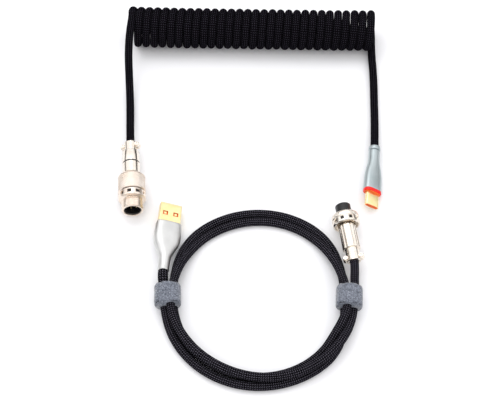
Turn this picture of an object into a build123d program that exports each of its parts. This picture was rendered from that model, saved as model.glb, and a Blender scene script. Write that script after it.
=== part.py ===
"""Detachable coiled keyboard cable: two braided cords with aviator connectors, laid out flat.

The device cable has a tight coil between a threaded aviator socket and a type-C plug.
The host cable is wound into a ring, held by two hook-and-loop straps, between a type-A
plug and an aviator plug whose coupling nut screws onto the socket.
Millimetres, +Z up, origin on the table under the middle of the whole layout.
"""

import math
import os

from build123d import *

os.makedirs("parts", exist_ok=True)

# Layout: the table point that everything below is measured from, relative to the origin
LAYOUT_X, LAYOUT_Y = -1.07, -7.25

# Cord
CORD_D = 4.6
CORD_R = CORD_D / 2
CORE_CLEAR = 0.1

# Coil of the device cable
COIL_OUTER_R = 12.4
COIL_INNER_R = COIL_OUTER_R - CORD_D
COIL_LEFT = (-68.0, 115.9)
COIL_RIGHT = (70.5, 112.8)

# Wound ring of the host cable
RING_X, RING_Y = 4.55, -61.0
RING_IN_R = 43.1
RING_OUT_R = 52.8

# Straps
STRAP_BAND = 11.2
STRAP_T = 1.3

# Aviator connectors, M12 coupling thread
THREAD_R = 6.0
SLEEVE_R = 4.75
BORE_R = 3.9
GRIP_R = 7.6
PIN_R = 0.5
PIN_CIRCLE_R = 2.6
PIN_COUNT = 5
NUT_R = 7.4

# Type-A plug
A_SHELL_W, A_SHELL_T, A_SHELL_L = 12.0, 4.5, 12.0
A_WALL = 0.3
A_ROLL = 19.0

# Type-C plug
C_SHELL_W, C_SHELL_T, C_SHELL_L = 8.34, 2.56, 8.4
C_WALL = 0.25
C_SHELL_CORNER_R = 1.2
C_ROLL = -31.0


def spot(x, y, z=0.0):
    """A layout position in the part's own frame."""
    return Vector(x + LAYOUT_X, y + LAYOUT_Y, z)


def station(rear, front, roll=0.0):
    """Plane at a connector's cord end: local Z towards its mating end, local Y up."""
    start = spot(*rear)
    ahead = (spot(*front) - start).normalized()
    side = Vector(0, 0, 1).cross(ahead).normalized()
    up = ahead.cross(side)
    turn = math.radians(roll)
    width = side * math.cos(turn) + up * math.sin(turn)
    return Plane(origin=start, x_dir=width, z_dir=ahead)


def turned(plane, outline):
    """A turned piece about the plane's Z, from (distance along it, radius) pairs."""
    half = Plane(origin=plane.origin, x_dir=plane.z_dir, z_dir=plane.z_dir.cross(plane.y_dir))
    with BuildPart() as piece:
        with BuildSketch(half):
            with BuildLine():
                Polyline(*outline, close=True)
            make_face()
        revolve(axis=Axis(plane.origin, plane.z_dir))
    return piece.part


def keep(part, name):
    """Label a finished piece and write its STEP file."""
    part.label = name
    export_step(part, f"parts/{name}.step")


def arc_radii(points, name):
    """Bend radius at each inner point of a cord's route, printed with the tightest one."""
    radii = []
    for before, here, after in zip(points, points[1:], points[2:]):
        first, second = here - before, after - here
        half_turn = math.radians(first.get_angle(second)) / 2
        radii.append(0.45 * min(first.length, second.length) / math.tan(half_turn))
    print(name, "arc radii", [round(radius, 1) for radius in radii])
    return radii


def cord_tube(route, name):
    """A plain tube of the cord along straight runs joined by tangent arcs."""
    points = [spot(*point) for point in route]
    with BuildPart() as cord:
        with BuildLine() as path:
            FilletPolyline(*points, radius=arc_radii(points, name))
        middle_line = path.wire()
        with BuildSketch(Plane(origin=middle_line @ 0, z_dir=middle_line % 0)):
            Circle(CORD_R)
        sweep()
    expected = math.pi * CORD_R**2 * middle_line.length
    print(name, "length", round(middle_line.length, 1))
    print(name, "volume over section times length", round(cord.part.volume / expected, 4))
    keep(cord.part, name)


def round_group(plane, start, length, radius):
    """Round rods on the contact circle, from a distance along the plane's Z."""
    with BuildPart() as rods:
        with BuildSketch(plane.offset(start)):
            with PolarLocations(PIN_CIRCLE_R, PIN_COUNT, start_angle=90):
                Circle(radius)
        extrude(amount=length)
    return rods.part


# Saddle clamp of an aviator connector: arch, ears and two screws, at the cord end
CLAMP_LENGTH = 4.4
CLAMP_ARCH_R = 3.7
EAR_FROM, EAR_TO = 2.6, 5.4
EAR_T = 1.5
EAR_GAP = 0.3
EAR_INSET = 0.2
EAR_CORNER_R = 0.2
SCREW_HEAD_R, SCREW_HEAD_T = 1.3, 0.8
HEAD_CLEAR = 0.05
SCREW_R = 0.7
SCREW_X = 4.15
SLOT_L, SLOT_W, SLOT_DEPTH = 1.8, 0.35, 0.4


def clamp_half(plane, upper):
    """One half of the clamp: a half arch over the cord with an ear each side."""
    face = 1 if upper else -1
    ear_y = face * (EAR_GAP + EAR_T) / 2
    with BuildPart() as half:
        with BuildSketch(plane):
            Circle(CLAMP_ARCH_R)
            Circle(CORD_R + CORE_CLEAR, mode=Mode.SUBTRACT)
            with Locations((0, -face * CLAMP_ARCH_R)):
                Rectangle(4 * CLAMP_ARCH_R, 2 * CLAMP_ARCH_R + EAR_GAP, mode=Mode.SUBTRACT)
        extrude(amount=CLAMP_LENGTH)
        with BuildSketch(plane.offset(EAR_INSET)):
            for side in (-1, 1):
                with Locations((side * (EAR_FROM + EAR_TO) / 2, ear_y)):
                    RectangleRounded(EAR_TO - EAR_FROM, EAR_T, EAR_CORNER_R)
        extrude(amount=CLAMP_LENGTH - 2 * EAR_INSET)
        with BuildSketch(clamp_top(plane)):
            with GridLocations(2 * SCREW_X, 1, 2, 1):
                Circle(SCREW_R)
        extrude(amount=CLAMP_ARCH_R, both=True, mode=Mode.SUBTRACT)
        with BuildSketch(clamp_top(plane).offset(EAR_GAP / 2 + EAR_T)):
            with GridLocations(2 * SCREW_X, 1, 2, 1):
                Circle(SCREW_HEAD_R + HEAD_CLEAR)
        extrude(amount=CLAMP_ARCH_R, mode=Mode.SUBTRACT)
    return half.part


def clamp_top(plane):
    """Plane on the connector's axis at mid clamp, facing up, local X across the ears."""
    middle = plane.origin + plane.z_dir * (CLAMP_LENGTH / 2)
    return Plane(origin=middle, x_dir=plane.x_dir, z_dir=plane.y_dir)


def clamp_screws(plane):
    """The two pan-head screws that close the clamp."""
    seat = clamp_top(plane).offset(EAR_GAP / 2 + EAR_T)
    depth = EAR_GAP + 2 * EAR_T
    with BuildPart() as screws:
        with BuildSketch(seat):
            with GridLocations(2 * SCREW_X, 1, 2, 1):
                Circle(SCREW_HEAD_R)
        extrude(amount=SCREW_HEAD_T)
        with BuildSketch(seat):
            with GridLocations(2 * SCREW_X, 1, 2, 1):
                Circle(SCREW_R)
        extrude(amount=-depth)
        with BuildSketch(seat.offset(SCREW_HEAD_T)):
            with GridLocations(2 * SCREW_X, 1, 2, 1):
                Rectangle(SLOT_L, SLOT_W)
        extrude(amount=-SLOT_DEPTH, mode=Mode.SUBTRACT)
    return screws.part


# ---------------------------------------------------------------- device cable: coil
coil_start, coil_end = spot(*COIL_LEFT, COIL_OUTER_R), spot(*COIL_RIGHT, COIL_OUTER_R)
coil_plane = Plane(origin=coil_start, z_dir=coil_end - coil_start)
with BuildPart() as coil:
    with BuildSketch(coil_plane):
        Circle(COIL_OUTER_R)
        Circle(COIL_INNER_R, mode=Mode.SUBTRACT)
    extrude(amount=(coil_end - coil_start).length)
keep(coil.part, "coil")

SOCKET_REAR, SOCKET_MOUTH = (-68.0, 32.9, 7.7), (-64.2, -11.8, 7.7)
C_TAIL, C_FRONT = (71.2, 32.5, 4.4), (68.0, 2.4, 4.4)

SOCKET_LEAD = [
    (-70.4, 116.0, 22.4),
    (-71.2, 104.5, 22.3),
    (-71.9, 92.0, 17.3),
    (-71.4, 79.0, 7.4),
    (-70.6, 66.5, 2.7),
    (-69.7, 54.0, 3.9),
    (-68.8, 42.5, 7.2),
    (-68.0, 32.9, 7.7),
]
TYPE_C_LEAD = [
    (72.9, 115.0, 2.35),
    (73.8, 104.0, 2.4),
    (74.0, 86.0, 2.35),
    (73.2, 67.0, 2.35),
    (72.6, 52.0, 2.4),
    (71.8, 41.0, 3.6),
    (71.2, 32.5, 4.4),
]
cord_tube(SOCKET_LEAD, "coil_lead_socket")
cord_tube(TYPE_C_LEAD, "coil_lead_type_c")

# ---------------------------------------------------------------- device cable: aviator socket
# Distances along the socket from its cord end
NECK_END = 6.2
BORE_FROM = 7.4
SEAM = 14.0
SLEEVE_END = 21.0
GRIP_END = 33.6
RIM_END = 38.3
SHOULDER = 39.1
SOCKET_MOUTH_AT = 44.8
INSULATOR_FROM, INSULATOR_TO = 29.5, 34.8
PIN_FROM, PIN_TO = 27.5, 40.0
SOCKET_BORE_R = 4.8
EDGE = 0.4
SEAM_EDGE = 0.25
GROOVE_W, GROOVE_DEPTH = 0.5, 0.35

socket = station(SOCKET_REAR, SOCKET_MOUTH, roll=16.0)
socket_tail = turned(
    socket,
    [
        (CLAMP_LENGTH, CORD_R + CORE_CLEAR),
        (CLAMP_LENGTH, CLAMP_ARCH_R),
        (NECK_END, CLAMP_ARCH_R),
        (NECK_END, SLEEVE_R - EDGE),
        (NECK_END + EDGE, SLEEVE_R),
        (SEAM - SEAM_EDGE, SLEEVE_R),
        (SEAM, SLEEVE_R - SEAM_EDGE),
        (SEAM, BORE_R),
        (BORE_FROM, BORE_R),
        (BORE_FROM, CORD_R + CORE_CLEAR),
    ],
)
with BuildPart() as socket_tail_sleeve:
    add(socket_tail)
    add(clamp_half(socket, upper=False))
keep(socket_tail_sleeve.part, "socket_tail_sleeve")
keep(clamp_half(socket, upper=True), "socket_clamp_saddle")
keep(clamp_screws(socket), "socket_clamp_screws")
keep(
    turned(
        socket,
        [
            (SEAM, BORE_R),
            (SEAM, SLEEVE_R - SEAM_EDGE),
            (SEAM + SEAM_EDGE, SLEEVE_R),
            (SLEEVE_END, SLEEVE_R),
            (SLEEVE_END, BORE_R),
        ],
    ),
    "socket_rear_sleeve",
)
socket_body = turned(
    socket,
    [
        (SLEEVE_END, BORE_R),
        (SLEEVE_END, SLEEVE_R + 0.1),
        (SLEEVE_END + 1.9, GRIP_R),
        (GRIP_END, GRIP_R),
        (GRIP_END, GRIP_R - GROOVE_DEPTH),
        (GRIP_END + GROOVE_W, GRIP_R - GROOVE_DEPTH),
        (GRIP_END + GROOVE_W, GRIP_R),
        (RIM_END - 0.5, GRIP_R),
        (RIM_END, GRIP_R - 0.5),
        (RIM_END, THREAD_R + 0.6),
        (SHOULDER, THREAD_R),
        (SOCKET_MOUTH_AT - EDGE, THREAD_R),
        (SOCKET_MOUTH_AT, THREAD_R - EDGE),
        (SOCKET_MOUTH_AT, SOCKET_BORE_R),
        (INSULATOR_FROM, SOCKET_BORE_R),
        (INSULATOR_FROM, BORE_R),
    ],
)
KEY_W, KEY_DEPTH = 1.8, 0.5
with BuildPart() as socket_shell:
    add(socket_body)
    with BuildSketch(socket.offset(SOCKET_MOUTH_AT)):
        with Locations((0, -SOCKET_BORE_R)):
            Rectangle(KEY_W, 2 * KEY_DEPTH)
    extrude(amount=-(SOCKET_MOUTH_AT - INSULATOR_TO), mode=Mode.SUBTRACT)
keep(socket_shell.part, "socket_shell")

with BuildPart() as socket_insulator:
    with BuildSketch(socket.offset(INSULATOR_FROM)):
        Circle(SOCKET_BORE_R)
        with PolarLocations(PIN_CIRCLE_R, PIN_COUNT, start_angle=90):
            Circle(PIN_R, mode=Mode.SUBTRACT)
    extrude(amount=INSULATOR_TO - INSULATOR_FROM)
keep(socket_insulator.part, "socket_insulator")
keep(round_group(socket, PIN_FROM, PIN_TO - PIN_FROM, PIN_R), "socket_pins")

# ---------------------------------------------------------------- device cable: type-C plug
C_COLLAR_L = 2.5
C_COLLAR_R = 3.25
C_HOUSING_L = 29.5
C_BAND_L = 1.7
C_BAND_FILLET = 0.6
C_END_W, C_END_T, C_CORNER_R = 10.8, 6.1, 2.8
# Distance along the plug, width, thickness and corner radius
C_SECTIONS = [
    (C_COLLAR_L, 6.5, 6.0, 2.95),
    (11.0, 7.0, 6.0, 2.9),
    (15.6, 9.0, 6.0, 2.8),
    (20.6, 10.4, 6.1, 2.8),
    (C_HOUSING_L, C_END_W, C_END_T, C_CORNER_R),
]
type_c = station(C_TAIL, C_FRONT, roll=C_ROLL)
keep(
    turned(
        type_c,
        [
            (0, CORD_R),
            (0, C_COLLAR_R - SEAM_EDGE),
            (SEAM_EDGE, C_COLLAR_R),
            (C_COLLAR_L, C_COLLAR_R),
            (C_COLLAR_L, CORD_R),
        ],
    ),
    "type_c_collar",
)
C_CAVITY_FROM = 12.0
C_CAVITY_W, C_CAVITY_T, C_CAVITY_CORNER_R = 5.6, 3.4, 0.6
C_CORE_R = 1.7
with BuildPart() as type_c_housing:
    for distance, width, thick, corner in C_SECTIONS:
        with BuildSketch(type_c.offset(distance)):
            RectangleRounded(width, thick, corner)
    loft(ruled=False)
    with BuildSketch(type_c.offset(C_CAVITY_FROM)):
        RectangleRounded(C_CAVITY_W, C_CAVITY_T, C_CAVITY_CORNER_R)
    extrude(amount=C_HOUSING_L - C_CAVITY_FROM, mode=Mode.SUBTRACT)
    with BuildSketch(type_c.offset(C_COLLAR_L)):
        Circle(C_CORE_R)
    extrude(amount=C_CAVITY_FROM - C_COLLAR_L + CORE_CLEAR, mode=Mode.SUBTRACT)
keep(type_c_housing.part, "type_c_housing")

C_FACE = C_HOUSING_L + C_BAND_L
with BuildPart() as type_c_band:
    with BuildSketch(type_c.offset(C_HOUSING_L)):
        RectangleRounded(C_END_W, C_END_T, C_CORNER_R)
    extrude(amount=C_BAND_L)
    fillet(type_c_band.faces().sort_by(Axis(type_c.origin, type_c.z_dir))[-1].edges(), C_BAND_FILLET)
    with BuildSketch(type_c.offset(C_HOUSING_L)):
        RectangleRounded(C_SHELL_W, C_SHELL_T, C_SHELL_CORNER_R)
    extrude(amount=C_BAND_L, mode=Mode.SUBTRACT)
keep(type_c_band.part, "type_c_band")

C_TIP = C_FACE + C_SHELL_L
C_SHELL_FROM = C_HOUSING_L
C_INNER_W, C_INNER_T = C_SHELL_W - 2 * C_WALL, C_SHELL_T - 2 * C_WALL
with BuildPart() as type_c_shell:
    with BuildSketch(type_c.offset(C_SHELL_FROM)):
        RectangleRounded(C_SHELL_W, C_SHELL_T, C_SHELL_CORNER_R)
        RectangleRounded(C_INNER_W, C_INNER_T, C_SHELL_CORNER_R - C_WALL, mode=Mode.SUBTRACT)
    extrude(amount=C_TIP - C_SHELL_FROM)
keep(type_c_shell.part, "type_c_shell")
C_MOUTH_W, C_MOUTH_T, C_MOUTH_DEPTH = 6.9, 0.9, 5.0
C_INSERT_BACK = 0.1
with BuildPart() as type_c_insert:
    with BuildSketch(type_c.offset(C_SHELL_FROM)):
        RectangleRounded(C_INNER_W, C_INNER_T, C_SHELL_CORNER_R - C_WALL)
    extrude(amount=C_TIP - C_SHELL_FROM - C_INSERT_BACK)
    with BuildSketch(type_c.offset(C_TIP - C_INSERT_BACK)):
        Rectangle(C_MOUTH_W, C_MOUTH_T)
    extrude(amount=-C_MOUTH_DEPTH, mode=Mode.SUBTRACT)
keep(type_c_insert.part, "type_c_insert")
C_CONTACT_BACK = 1.2
C_CONTACT_PITCH, C_CONTACT_COUNT = 0.5, 12
C_CONTACT_W, C_CONTACT_T, C_CONTACT_L = 0.26, 0.12, 3.6
with BuildPart() as type_c_contacts:
    with BuildSketch(type_c.offset(C_TIP - C_CONTACT_BACK)):
        for side in (-1, 1):
            with Locations((0, side * (C_MOUTH_T - C_CONTACT_T) / 2)):
                with GridLocations(C_CONTACT_PITCH, 1, C_CONTACT_COUNT, 1):
                    Rectangle(C_CONTACT_W, C_CONTACT_T)
    extrude(amount=-C_CONTACT_L)
keep(type_c_contacts.part, "type_c_contacts")
C_BOARD_FROM = 14.0
C_BOARD_W, C_BOARD_T = 5.4, 0.8
with BuildPart() as type_c_board:
    with BuildSketch(type_c.offset(C_BOARD_FROM)):
        Rectangle(C_BOARD_W, C_BOARD_T)
    extrude(amount=C_HOUSING_L - C_BOARD_FROM)
keep(type_c_board.part, "type_c_board")

# ---------------------------------------------------------------- host cable: type-A plug
A_TAIL, A_FRONT = (-45.9, -48.9, 7.2), (-44.3, -19.1, 5.8)
A_HOUSING_L = 29.8
# Distance along the plug, width, thickness and corner radius
A_SECTIONS = [
    (0.0, 6.0, 6.0, 2.9),
    (8.5, 6.7, 6.3, 3.0),
    (13.0, 10.0, 7.0, 3.1),
    (16.8, 13.4, 7.7, 3.1),
    (21.5, 14.8, 8.0, 3.0),
    (A_HOUSING_L, 14.0, 7.8, 2.6),
]
type_a = station(A_TAIL, A_FRONT, roll=A_ROLL)
A_CAVITY_FROM = 17.0
A_CAVITY_W, A_CAVITY_T, A_CAVITY_L = 9.0, 4.0, 7.0
A_CORE_R = 1.9
with BuildPart() as type_a_housing:
    for distance, width, thick, corner in A_SECTIONS:
        with BuildSketch(type_a.offset(distance)):
            RectangleRounded(width, thick, corner)
    loft(ruled=False)
    with BuildSketch(type_a.offset(A_CAVITY_FROM)):
        Rectangle(A_CAVITY_W, A_CAVITY_T)
    extrude(amount=A_CAVITY_L, mode=Mode.SUBTRACT)
    with BuildSketch(type_a.offset(A_CAVITY_FROM + A_CAVITY_L)):
        Rectangle(A_SHELL_W, A_SHELL_T)
    extrude(amount=A_HOUSING_L - A_CAVITY_FROM, mode=Mode.SUBTRACT)
    with BuildSketch(type_a):
        Circle(A_CORE_R)
    extrude(amount=A_CAVITY_FROM + CORE_CLEAR, mode=Mode.SUBTRACT)
keep(type_a_housing.part, "type_a_housing")

A_SHELL_FROM = A_CAVITY_FROM + A_CAVITY_L
A_TIP = A_HOUSING_L + A_SHELL_L
A_INNER_W, A_INNER_T = A_SHELL_W - 2 * A_WALL, A_SHELL_T - 2 * A_WALL
A_WINDOW_W, A_WINDOW_L, A_WINDOW_X = 2.8, 2.4, 2.9
A_WINDOW_BACK = 6.4
A_SHELL_CORNER_R = 0.5
with BuildPart() as type_a_shell:
    with BuildSketch(type_a.offset(A_SHELL_FROM)):
        RectangleRounded(A_SHELL_W, A_SHELL_T, A_SHELL_CORNER_R)
        RectangleRounded(A_INNER_W, A_INNER_T, A_SHELL_CORNER_R - A_WALL, mode=Mode.SUBTRACT)
    extrude(amount=A_TIP - A_SHELL_FROM)
    window_middle = type_a.origin + type_a.z_dir * (A_TIP - A_WINDOW_BACK)
    with BuildSketch(Plane(origin=window_middle, x_dir=type_a.x_dir, z_dir=type_a.y_dir)):
        with GridLocations(2 * A_WINDOW_X, 1, 2, 1):
            Rectangle(A_WINDOW_W, A_WINDOW_L)
    extrude(amount=A_SHELL_T, both=True, mode=Mode.SUBTRACT)
keep(type_a_shell.part, "type_a_shell")

A_TONGUE_T, A_TONGUE_SIDE, A_TONGUE_BACK = 1.8, 0.3, 0.5
with BuildPart() as type_a_tongue:
    with BuildSketch(type_a.offset(A_SHELL_FROM)):
        with Locations((0, -(A_INNER_T - A_TONGUE_T) / 2)):
            Rectangle(A_INNER_W - 2 * A_TONGUE_SIDE, A_TONGUE_T)
    extrude(amount=A_TIP - A_SHELL_FROM - A_TONGUE_BACK)
keep(type_a_tongue.part, "type_a_tongue")
A_TONGUE_TOP = -A_INNER_T / 2 + A_TONGUE_T
A_CONTACT_FROM = A_HOUSING_L + 2.0
A_CONTACT_PITCH, A_CONTACT_COUNT = 2.2, 4
A_CONTACT_W, A_CONTACT_T, A_CONTACT_L = 1.0, 0.16, 8.6
with BuildPart() as type_a_contacts:
    with BuildSketch(type_a.offset(A_CONTACT_FROM)):
        with Locations((0, A_TONGUE_TOP + A_CONTACT_T / 2)):
            with GridLocations(A_CONTACT_PITCH, 1, A_CONTACT_COUNT, 1):
                Rectangle(A_CONTACT_W, A_CONTACT_T)
    extrude(amount=A_CONTACT_L)
keep(type_a_contacts.part, "type_a_contacts")
A_BOARD_W, A_BOARD_T, A_BOARD_L = 8.6, 1.0, 6.6
with BuildPart() as type_a_board:
    with BuildSketch(type_a.offset(A_SHELL_FROM - A_BOARD_L)):
        Rectangle(A_BOARD_W, A_BOARD_T)
    extrude(amount=A_BOARD_L)
keep(type_a_board.part, "type_a_board")

# ---------------------------------------------------------------- host cable: aviator plug
PLUG_REAR, PLUG_FRONT = (55.5, -43.3, 7.5), (50.8, -8.55, 7.5)
# Distances along the plug from its cord end
NUT_FROM, NUT_TO = 22.0, 28.9
NUT_LIP_FROM, NUT_LIP_TO = 23.6, 24.6
RING_FROM, RING_TO = 24.7, 25.2
SNAP_RING_IN_R, SNAP_RING_OUT_R = SLEEVE_R + 0.08, THREAD_R - 0.1
FLANGE_FROM, FLANGE_TO = 28.0, 28.6
PLUG_NECK_END = 7.2
PLUG_BORE_FROM = 8.4
FLANGE_R = 5.7
PLUG_FACE = 35.0
PLUG_INSERT_R = 4.25
PLUG_CHAMFER = 0.3
PLUG_INSERT_FROM = 25.5
plug = station(PLUG_REAR, PLUG_FRONT, roll=-12.0)
plug_body = turned(
    plug,
    [
        (CLAMP_LENGTH, CORD_R + CORE_CLEAR),
        (CLAMP_LENGTH, CLAMP_ARCH_R),
        (PLUG_NECK_END, CLAMP_ARCH_R),
        (PLUG_NECK_END, SLEEVE_R - EDGE),
        (PLUG_NECK_END + EDGE, SLEEVE_R),
        (FLANGE_FROM, SLEEVE_R),
        (FLANGE_FROM, FLANGE_R),
        (FLANGE_TO, FLANGE_R),
        (FLANGE_TO, PLUG_INSERT_R),
        (PLUG_INSERT_FROM, PLUG_INSERT_R),
        (PLUG_INSERT_FROM, BORE_R),
        (PLUG_BORE_FROM, BORE_R),
        (PLUG_BORE_FROM, CORD_R + CORE_CLEAR),
    ],
)
FLUTES, FLUTE_R, FLUTE_AT_R = 14, 0.55, SLEEVE_R + 0.3
FLUTE_FROM, FLUTE_L = 8.4, 14.2
with BuildPart() as plug_barrel:
    add(plug_body)
    with BuildSketch(plug.offset(FLUTE_FROM)):
        with PolarLocations(FLUTE_AT_R, FLUTES):
            Circle(FLUTE_R)
    extrude(amount=FLUTE_L, mode=Mode.SUBTRACT)
    add(clamp_half(plug, upper=False))
keep(plug_barrel.part, "plug_barrel")
keep(clamp_half(plug, upper=True), "plug_clamp_saddle")
keep(clamp_screws(plug), "plug_clamp_screws")
SOCKET_HOLE_DEPTH = 6.0
CONTACT_OUT_R, CONTACT_IN_R, CONTACT_BACK = PIN_R + 0.3, PIN_R + 0.05, 0.6
with BuildPart() as plug_insert:
    with BuildSketch(plug.offset(PLUG_INSERT_FROM)):
        Circle(PLUG_INSERT_R)
    extrude(amount=PLUG_FACE - PLUG_INSERT_FROM)
    chamfer(plug_insert.faces().sort_by(Axis(plug.origin, plug.z_dir))[-1].edges(), PLUG_CHAMFER)
    with BuildSketch(plug.offset(PLUG_FACE)):
        with PolarLocations(PIN_CIRCLE_R, PIN_COUNT, start_angle=90):
            Circle(CONTACT_OUT_R)
    extrude(amount=-SOCKET_HOLE_DEPTH, mode=Mode.SUBTRACT)
keep(plug_insert.part, "plug_insert")
with BuildPart() as plug_sockets:
    with BuildSketch(plug.offset(PLUG_FACE - CONTACT_BACK)):
        with PolarLocations(PIN_CIRCLE_R, PIN_COUNT, start_angle=90):
            Circle(CONTACT_OUT_R)
            Circle(CONTACT_IN_R, mode=Mode.SUBTRACT)
    extrude(amount=-(SOCKET_HOLE_DEPTH - CONTACT_BACK))
keep(plug_sockets.part, "plug_sockets")
keep(
    turned(
        plug,
        [
            (RING_FROM, SNAP_RING_IN_R),
            (RING_FROM, SNAP_RING_OUT_R),
            (RING_TO, SNAP_RING_OUT_R),
            (RING_TO, SNAP_RING_IN_R),
        ],
    ),
    "plug_snap_ring",
)
NUT_BORE_R = THREAD_R + 0.1
NUT_SKIRT_R = THREAD_R + 0.3
NUT_LIP_R = SLEEVE_R + 0.25
NUT_REAR_EDGE = 0.5
NUT_NOSE_L, NUT_NOSE_R = 1.2, 6.5
nut_body = turned(
    plug,
    [
        (NUT_FROM, NUT_SKIRT_R),
        (NUT_FROM, NUT_R - NUT_REAR_EDGE),
        (NUT_FROM + NUT_REAR_EDGE, NUT_R),
        (NUT_TO - NUT_NOSE_L, NUT_R),
        (NUT_TO, NUT_NOSE_R),
        (NUT_TO, NUT_BORE_R),
        (NUT_LIP_TO, NUT_BORE_R),
        (NUT_LIP_TO, NUT_LIP_R),
        (NUT_LIP_FROM, NUT_LIP_R),
        (NUT_LIP_FROM, NUT_SKIRT_R),
    ],
)
keep(nut_body, "plug_coupling_nut")

# ---------------------------------------------------------------- host cable: wound ring
RING_AXIS = Axis(spot(RING_X, RING_Y), (0, 0, 1))
ROUNDING = 0.3
FRONT_FROM, FRONT_TO = 193.0, 346.0
# Stretches of the ring: start and end angle, inner and outer radius, low and high edge
RING_STRETCHES = [
    (7.0, 24.0, 42.6, 48.0, 0.2, 9.2),
    (24.0, 40.0, 42.9, 49.4, 0.0, 6.2),
    (40.0, 138.0, RING_IN_R, RING_OUT_R, 0.0, CORD_D),
    (138.0, 156.0, 42.9, 49.9, 0.0, 6.2),
    (156.0, 172.0, 42.4, 48.2, 0.2, 9.2),
    (172.0, FRONT_FROM, 42.3, 51.7, 1.4, 10.3),
    (FRONT_TO, 367.0, 42.3, 51.7, 1.4, 10.3),
]


def ring_plane(angle):
    """Upright plane through the ring's axis at an angle: local X outwards, local Y up."""
    turn = math.radians(angle)
    outwards = Vector(math.cos(turn), math.sin(turn), 0)
    return Plane(origin=RING_AXIS.position, x_dir=outwards, z_dir=outwards.cross(Vector(0, 0, 1)))


with BuildPart() as host_cord_ring:
    for first, last, inner, outer, low, high in RING_STRETCHES:
        with BuildSketch(ring_plane(first)):
            with Locations(((inner + outer) / 2, (low + high) / 2)):
                RectangleRounded(outer - inner, high - low, ROUNDING * min(outer - inner, high - low))
        revolve(axis=RING_AXIS, revolution_arc=last - first)
    with BuildSketch(ring_plane(FRONT_FROM)):
        with BuildLine():
            Polyline(
                (RING_IN_R, 0),
                (RING_OUT_R, 0),
                (RING_OUT_R, CORD_D),
                (RING_OUT_R - 2.4, 2 * CORD_D - 0.3),
                (RING_IN_R + 2.0, 2 * CORD_D - 0.3),
                (RING_IN_R, CORD_D),
                close=True,
            )
        make_face()
    revolve(axis=RING_AXIS, revolution_arc=FRONT_TO - FRONT_FROM)
keep(host_cord_ring.part, "host_cord_ring")

TYPE_A_LEAD = [A_TAIL, (-46.02, -51.2, 7.3), (-45.8, -53.6, 7.0)]
PLUG_LEAD = [PLUG_REAR, (55.6, -47.6, 7.1), (55.2, -52.6, 6.4)]
cord_tube(TYPE_A_LEAD, "host_lead_type_a")
cord_tube(PLUG_LEAD, "host_lead_plug")

# ---------------------------------------------------------------- host cable: straps
STRAP_W, STRAP_H, STRAP_CORNER_R = 14.6, 13.2, 2.2
STRAP_IN_W, STRAP_IN_H = STRAP_W - 2 * STRAP_T, STRAP_H - 2 * STRAP_T


def strap(angle, middle_r):
    """A closed hook-and-loop band round the wound cords, at an angle of the ring."""
    turn = math.radians(angle)
    middle = RING_AXIS.position + Vector(math.cos(turn), math.sin(turn), 0) * middle_r
    across = ring_plane(angle)
    section = Plane(origin=middle, x_dir=across.x_dir, z_dir=across.z_dir).offset(-STRAP_BAND / 2)
    with BuildPart() as band:
        with BuildSketch(section):
            with Locations((0, STRAP_H / 2)):
                RectangleRounded(STRAP_W, STRAP_H, STRAP_CORNER_R + STRAP_T)
                RectangleRounded(STRAP_IN_W, STRAP_IN_H, STRAP_CORNER_R, mode=Mode.SUBTRACT)
        extrude(amount=STRAP_BAND)
    return band.part


keep(strap(182.4, 47.6), "strap_left")
keep(strap(356.3, 47.4), "strap_right")
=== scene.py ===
"""Looks of the detachable coiled keyboard cable: braided cords, plated connectors and straps."""

import logging
import math
from collections.abc import Callable
from dataclasses import dataclass, field
from enum import Enum

import bmesh
import bpy
from mathutils import Matrix, Vector, noise


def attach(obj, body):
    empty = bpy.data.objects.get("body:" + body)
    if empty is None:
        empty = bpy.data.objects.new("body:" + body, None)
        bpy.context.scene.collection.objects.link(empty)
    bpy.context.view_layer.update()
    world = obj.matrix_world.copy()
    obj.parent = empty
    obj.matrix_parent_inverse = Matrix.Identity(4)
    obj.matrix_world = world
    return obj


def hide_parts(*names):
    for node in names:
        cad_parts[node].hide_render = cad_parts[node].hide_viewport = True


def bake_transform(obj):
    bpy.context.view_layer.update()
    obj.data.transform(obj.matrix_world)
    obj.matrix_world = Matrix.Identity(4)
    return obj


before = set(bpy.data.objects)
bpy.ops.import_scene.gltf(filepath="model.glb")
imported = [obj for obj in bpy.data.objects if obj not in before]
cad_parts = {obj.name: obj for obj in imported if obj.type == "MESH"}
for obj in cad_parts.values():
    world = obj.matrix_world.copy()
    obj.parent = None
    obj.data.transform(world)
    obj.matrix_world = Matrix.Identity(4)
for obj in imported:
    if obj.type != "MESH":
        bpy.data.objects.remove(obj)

logging.basicConfig(level=logging.INFO, format="%(message)s")
LOG = logging.getLogger("keyboard_cable")
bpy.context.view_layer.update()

MM = 0.001
LAYOUT = Vector((-1.07, -7.25, 0.0))
CORD_D = 4.6
CORD_R = CORD_D / 2
PIN_CIRCLE_R = 2.6
Outline = list[tuple[float, float]]


def spot(x: float, y: float, z: float = 0.0) -> Vector:
    """A layout position in millimetres, turned to metres in the part's frame."""
    return (Vector((x, y, z)) + LAYOUT) * MM


# ------------------------------------------------------------------ colours and nodes
def linear(code: str) -> tuple[float, float, float, float]:
    """Turn an sRGB hex colour into linear values.

    Args:
        code: Six hex digits after a hash.

    Returns:
        Red, green, blue and an alpha of 1.
    """
    out = []
    for at in (1, 3, 5):
        value = int(code[at:at + 2], 16) / 255
        out.append(value / 12.92 if value <= 0.04045 else ((value + 0.055) / 1.055) ** 2.4)
    return (out[0], out[1], out[2], 1.0)


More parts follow.
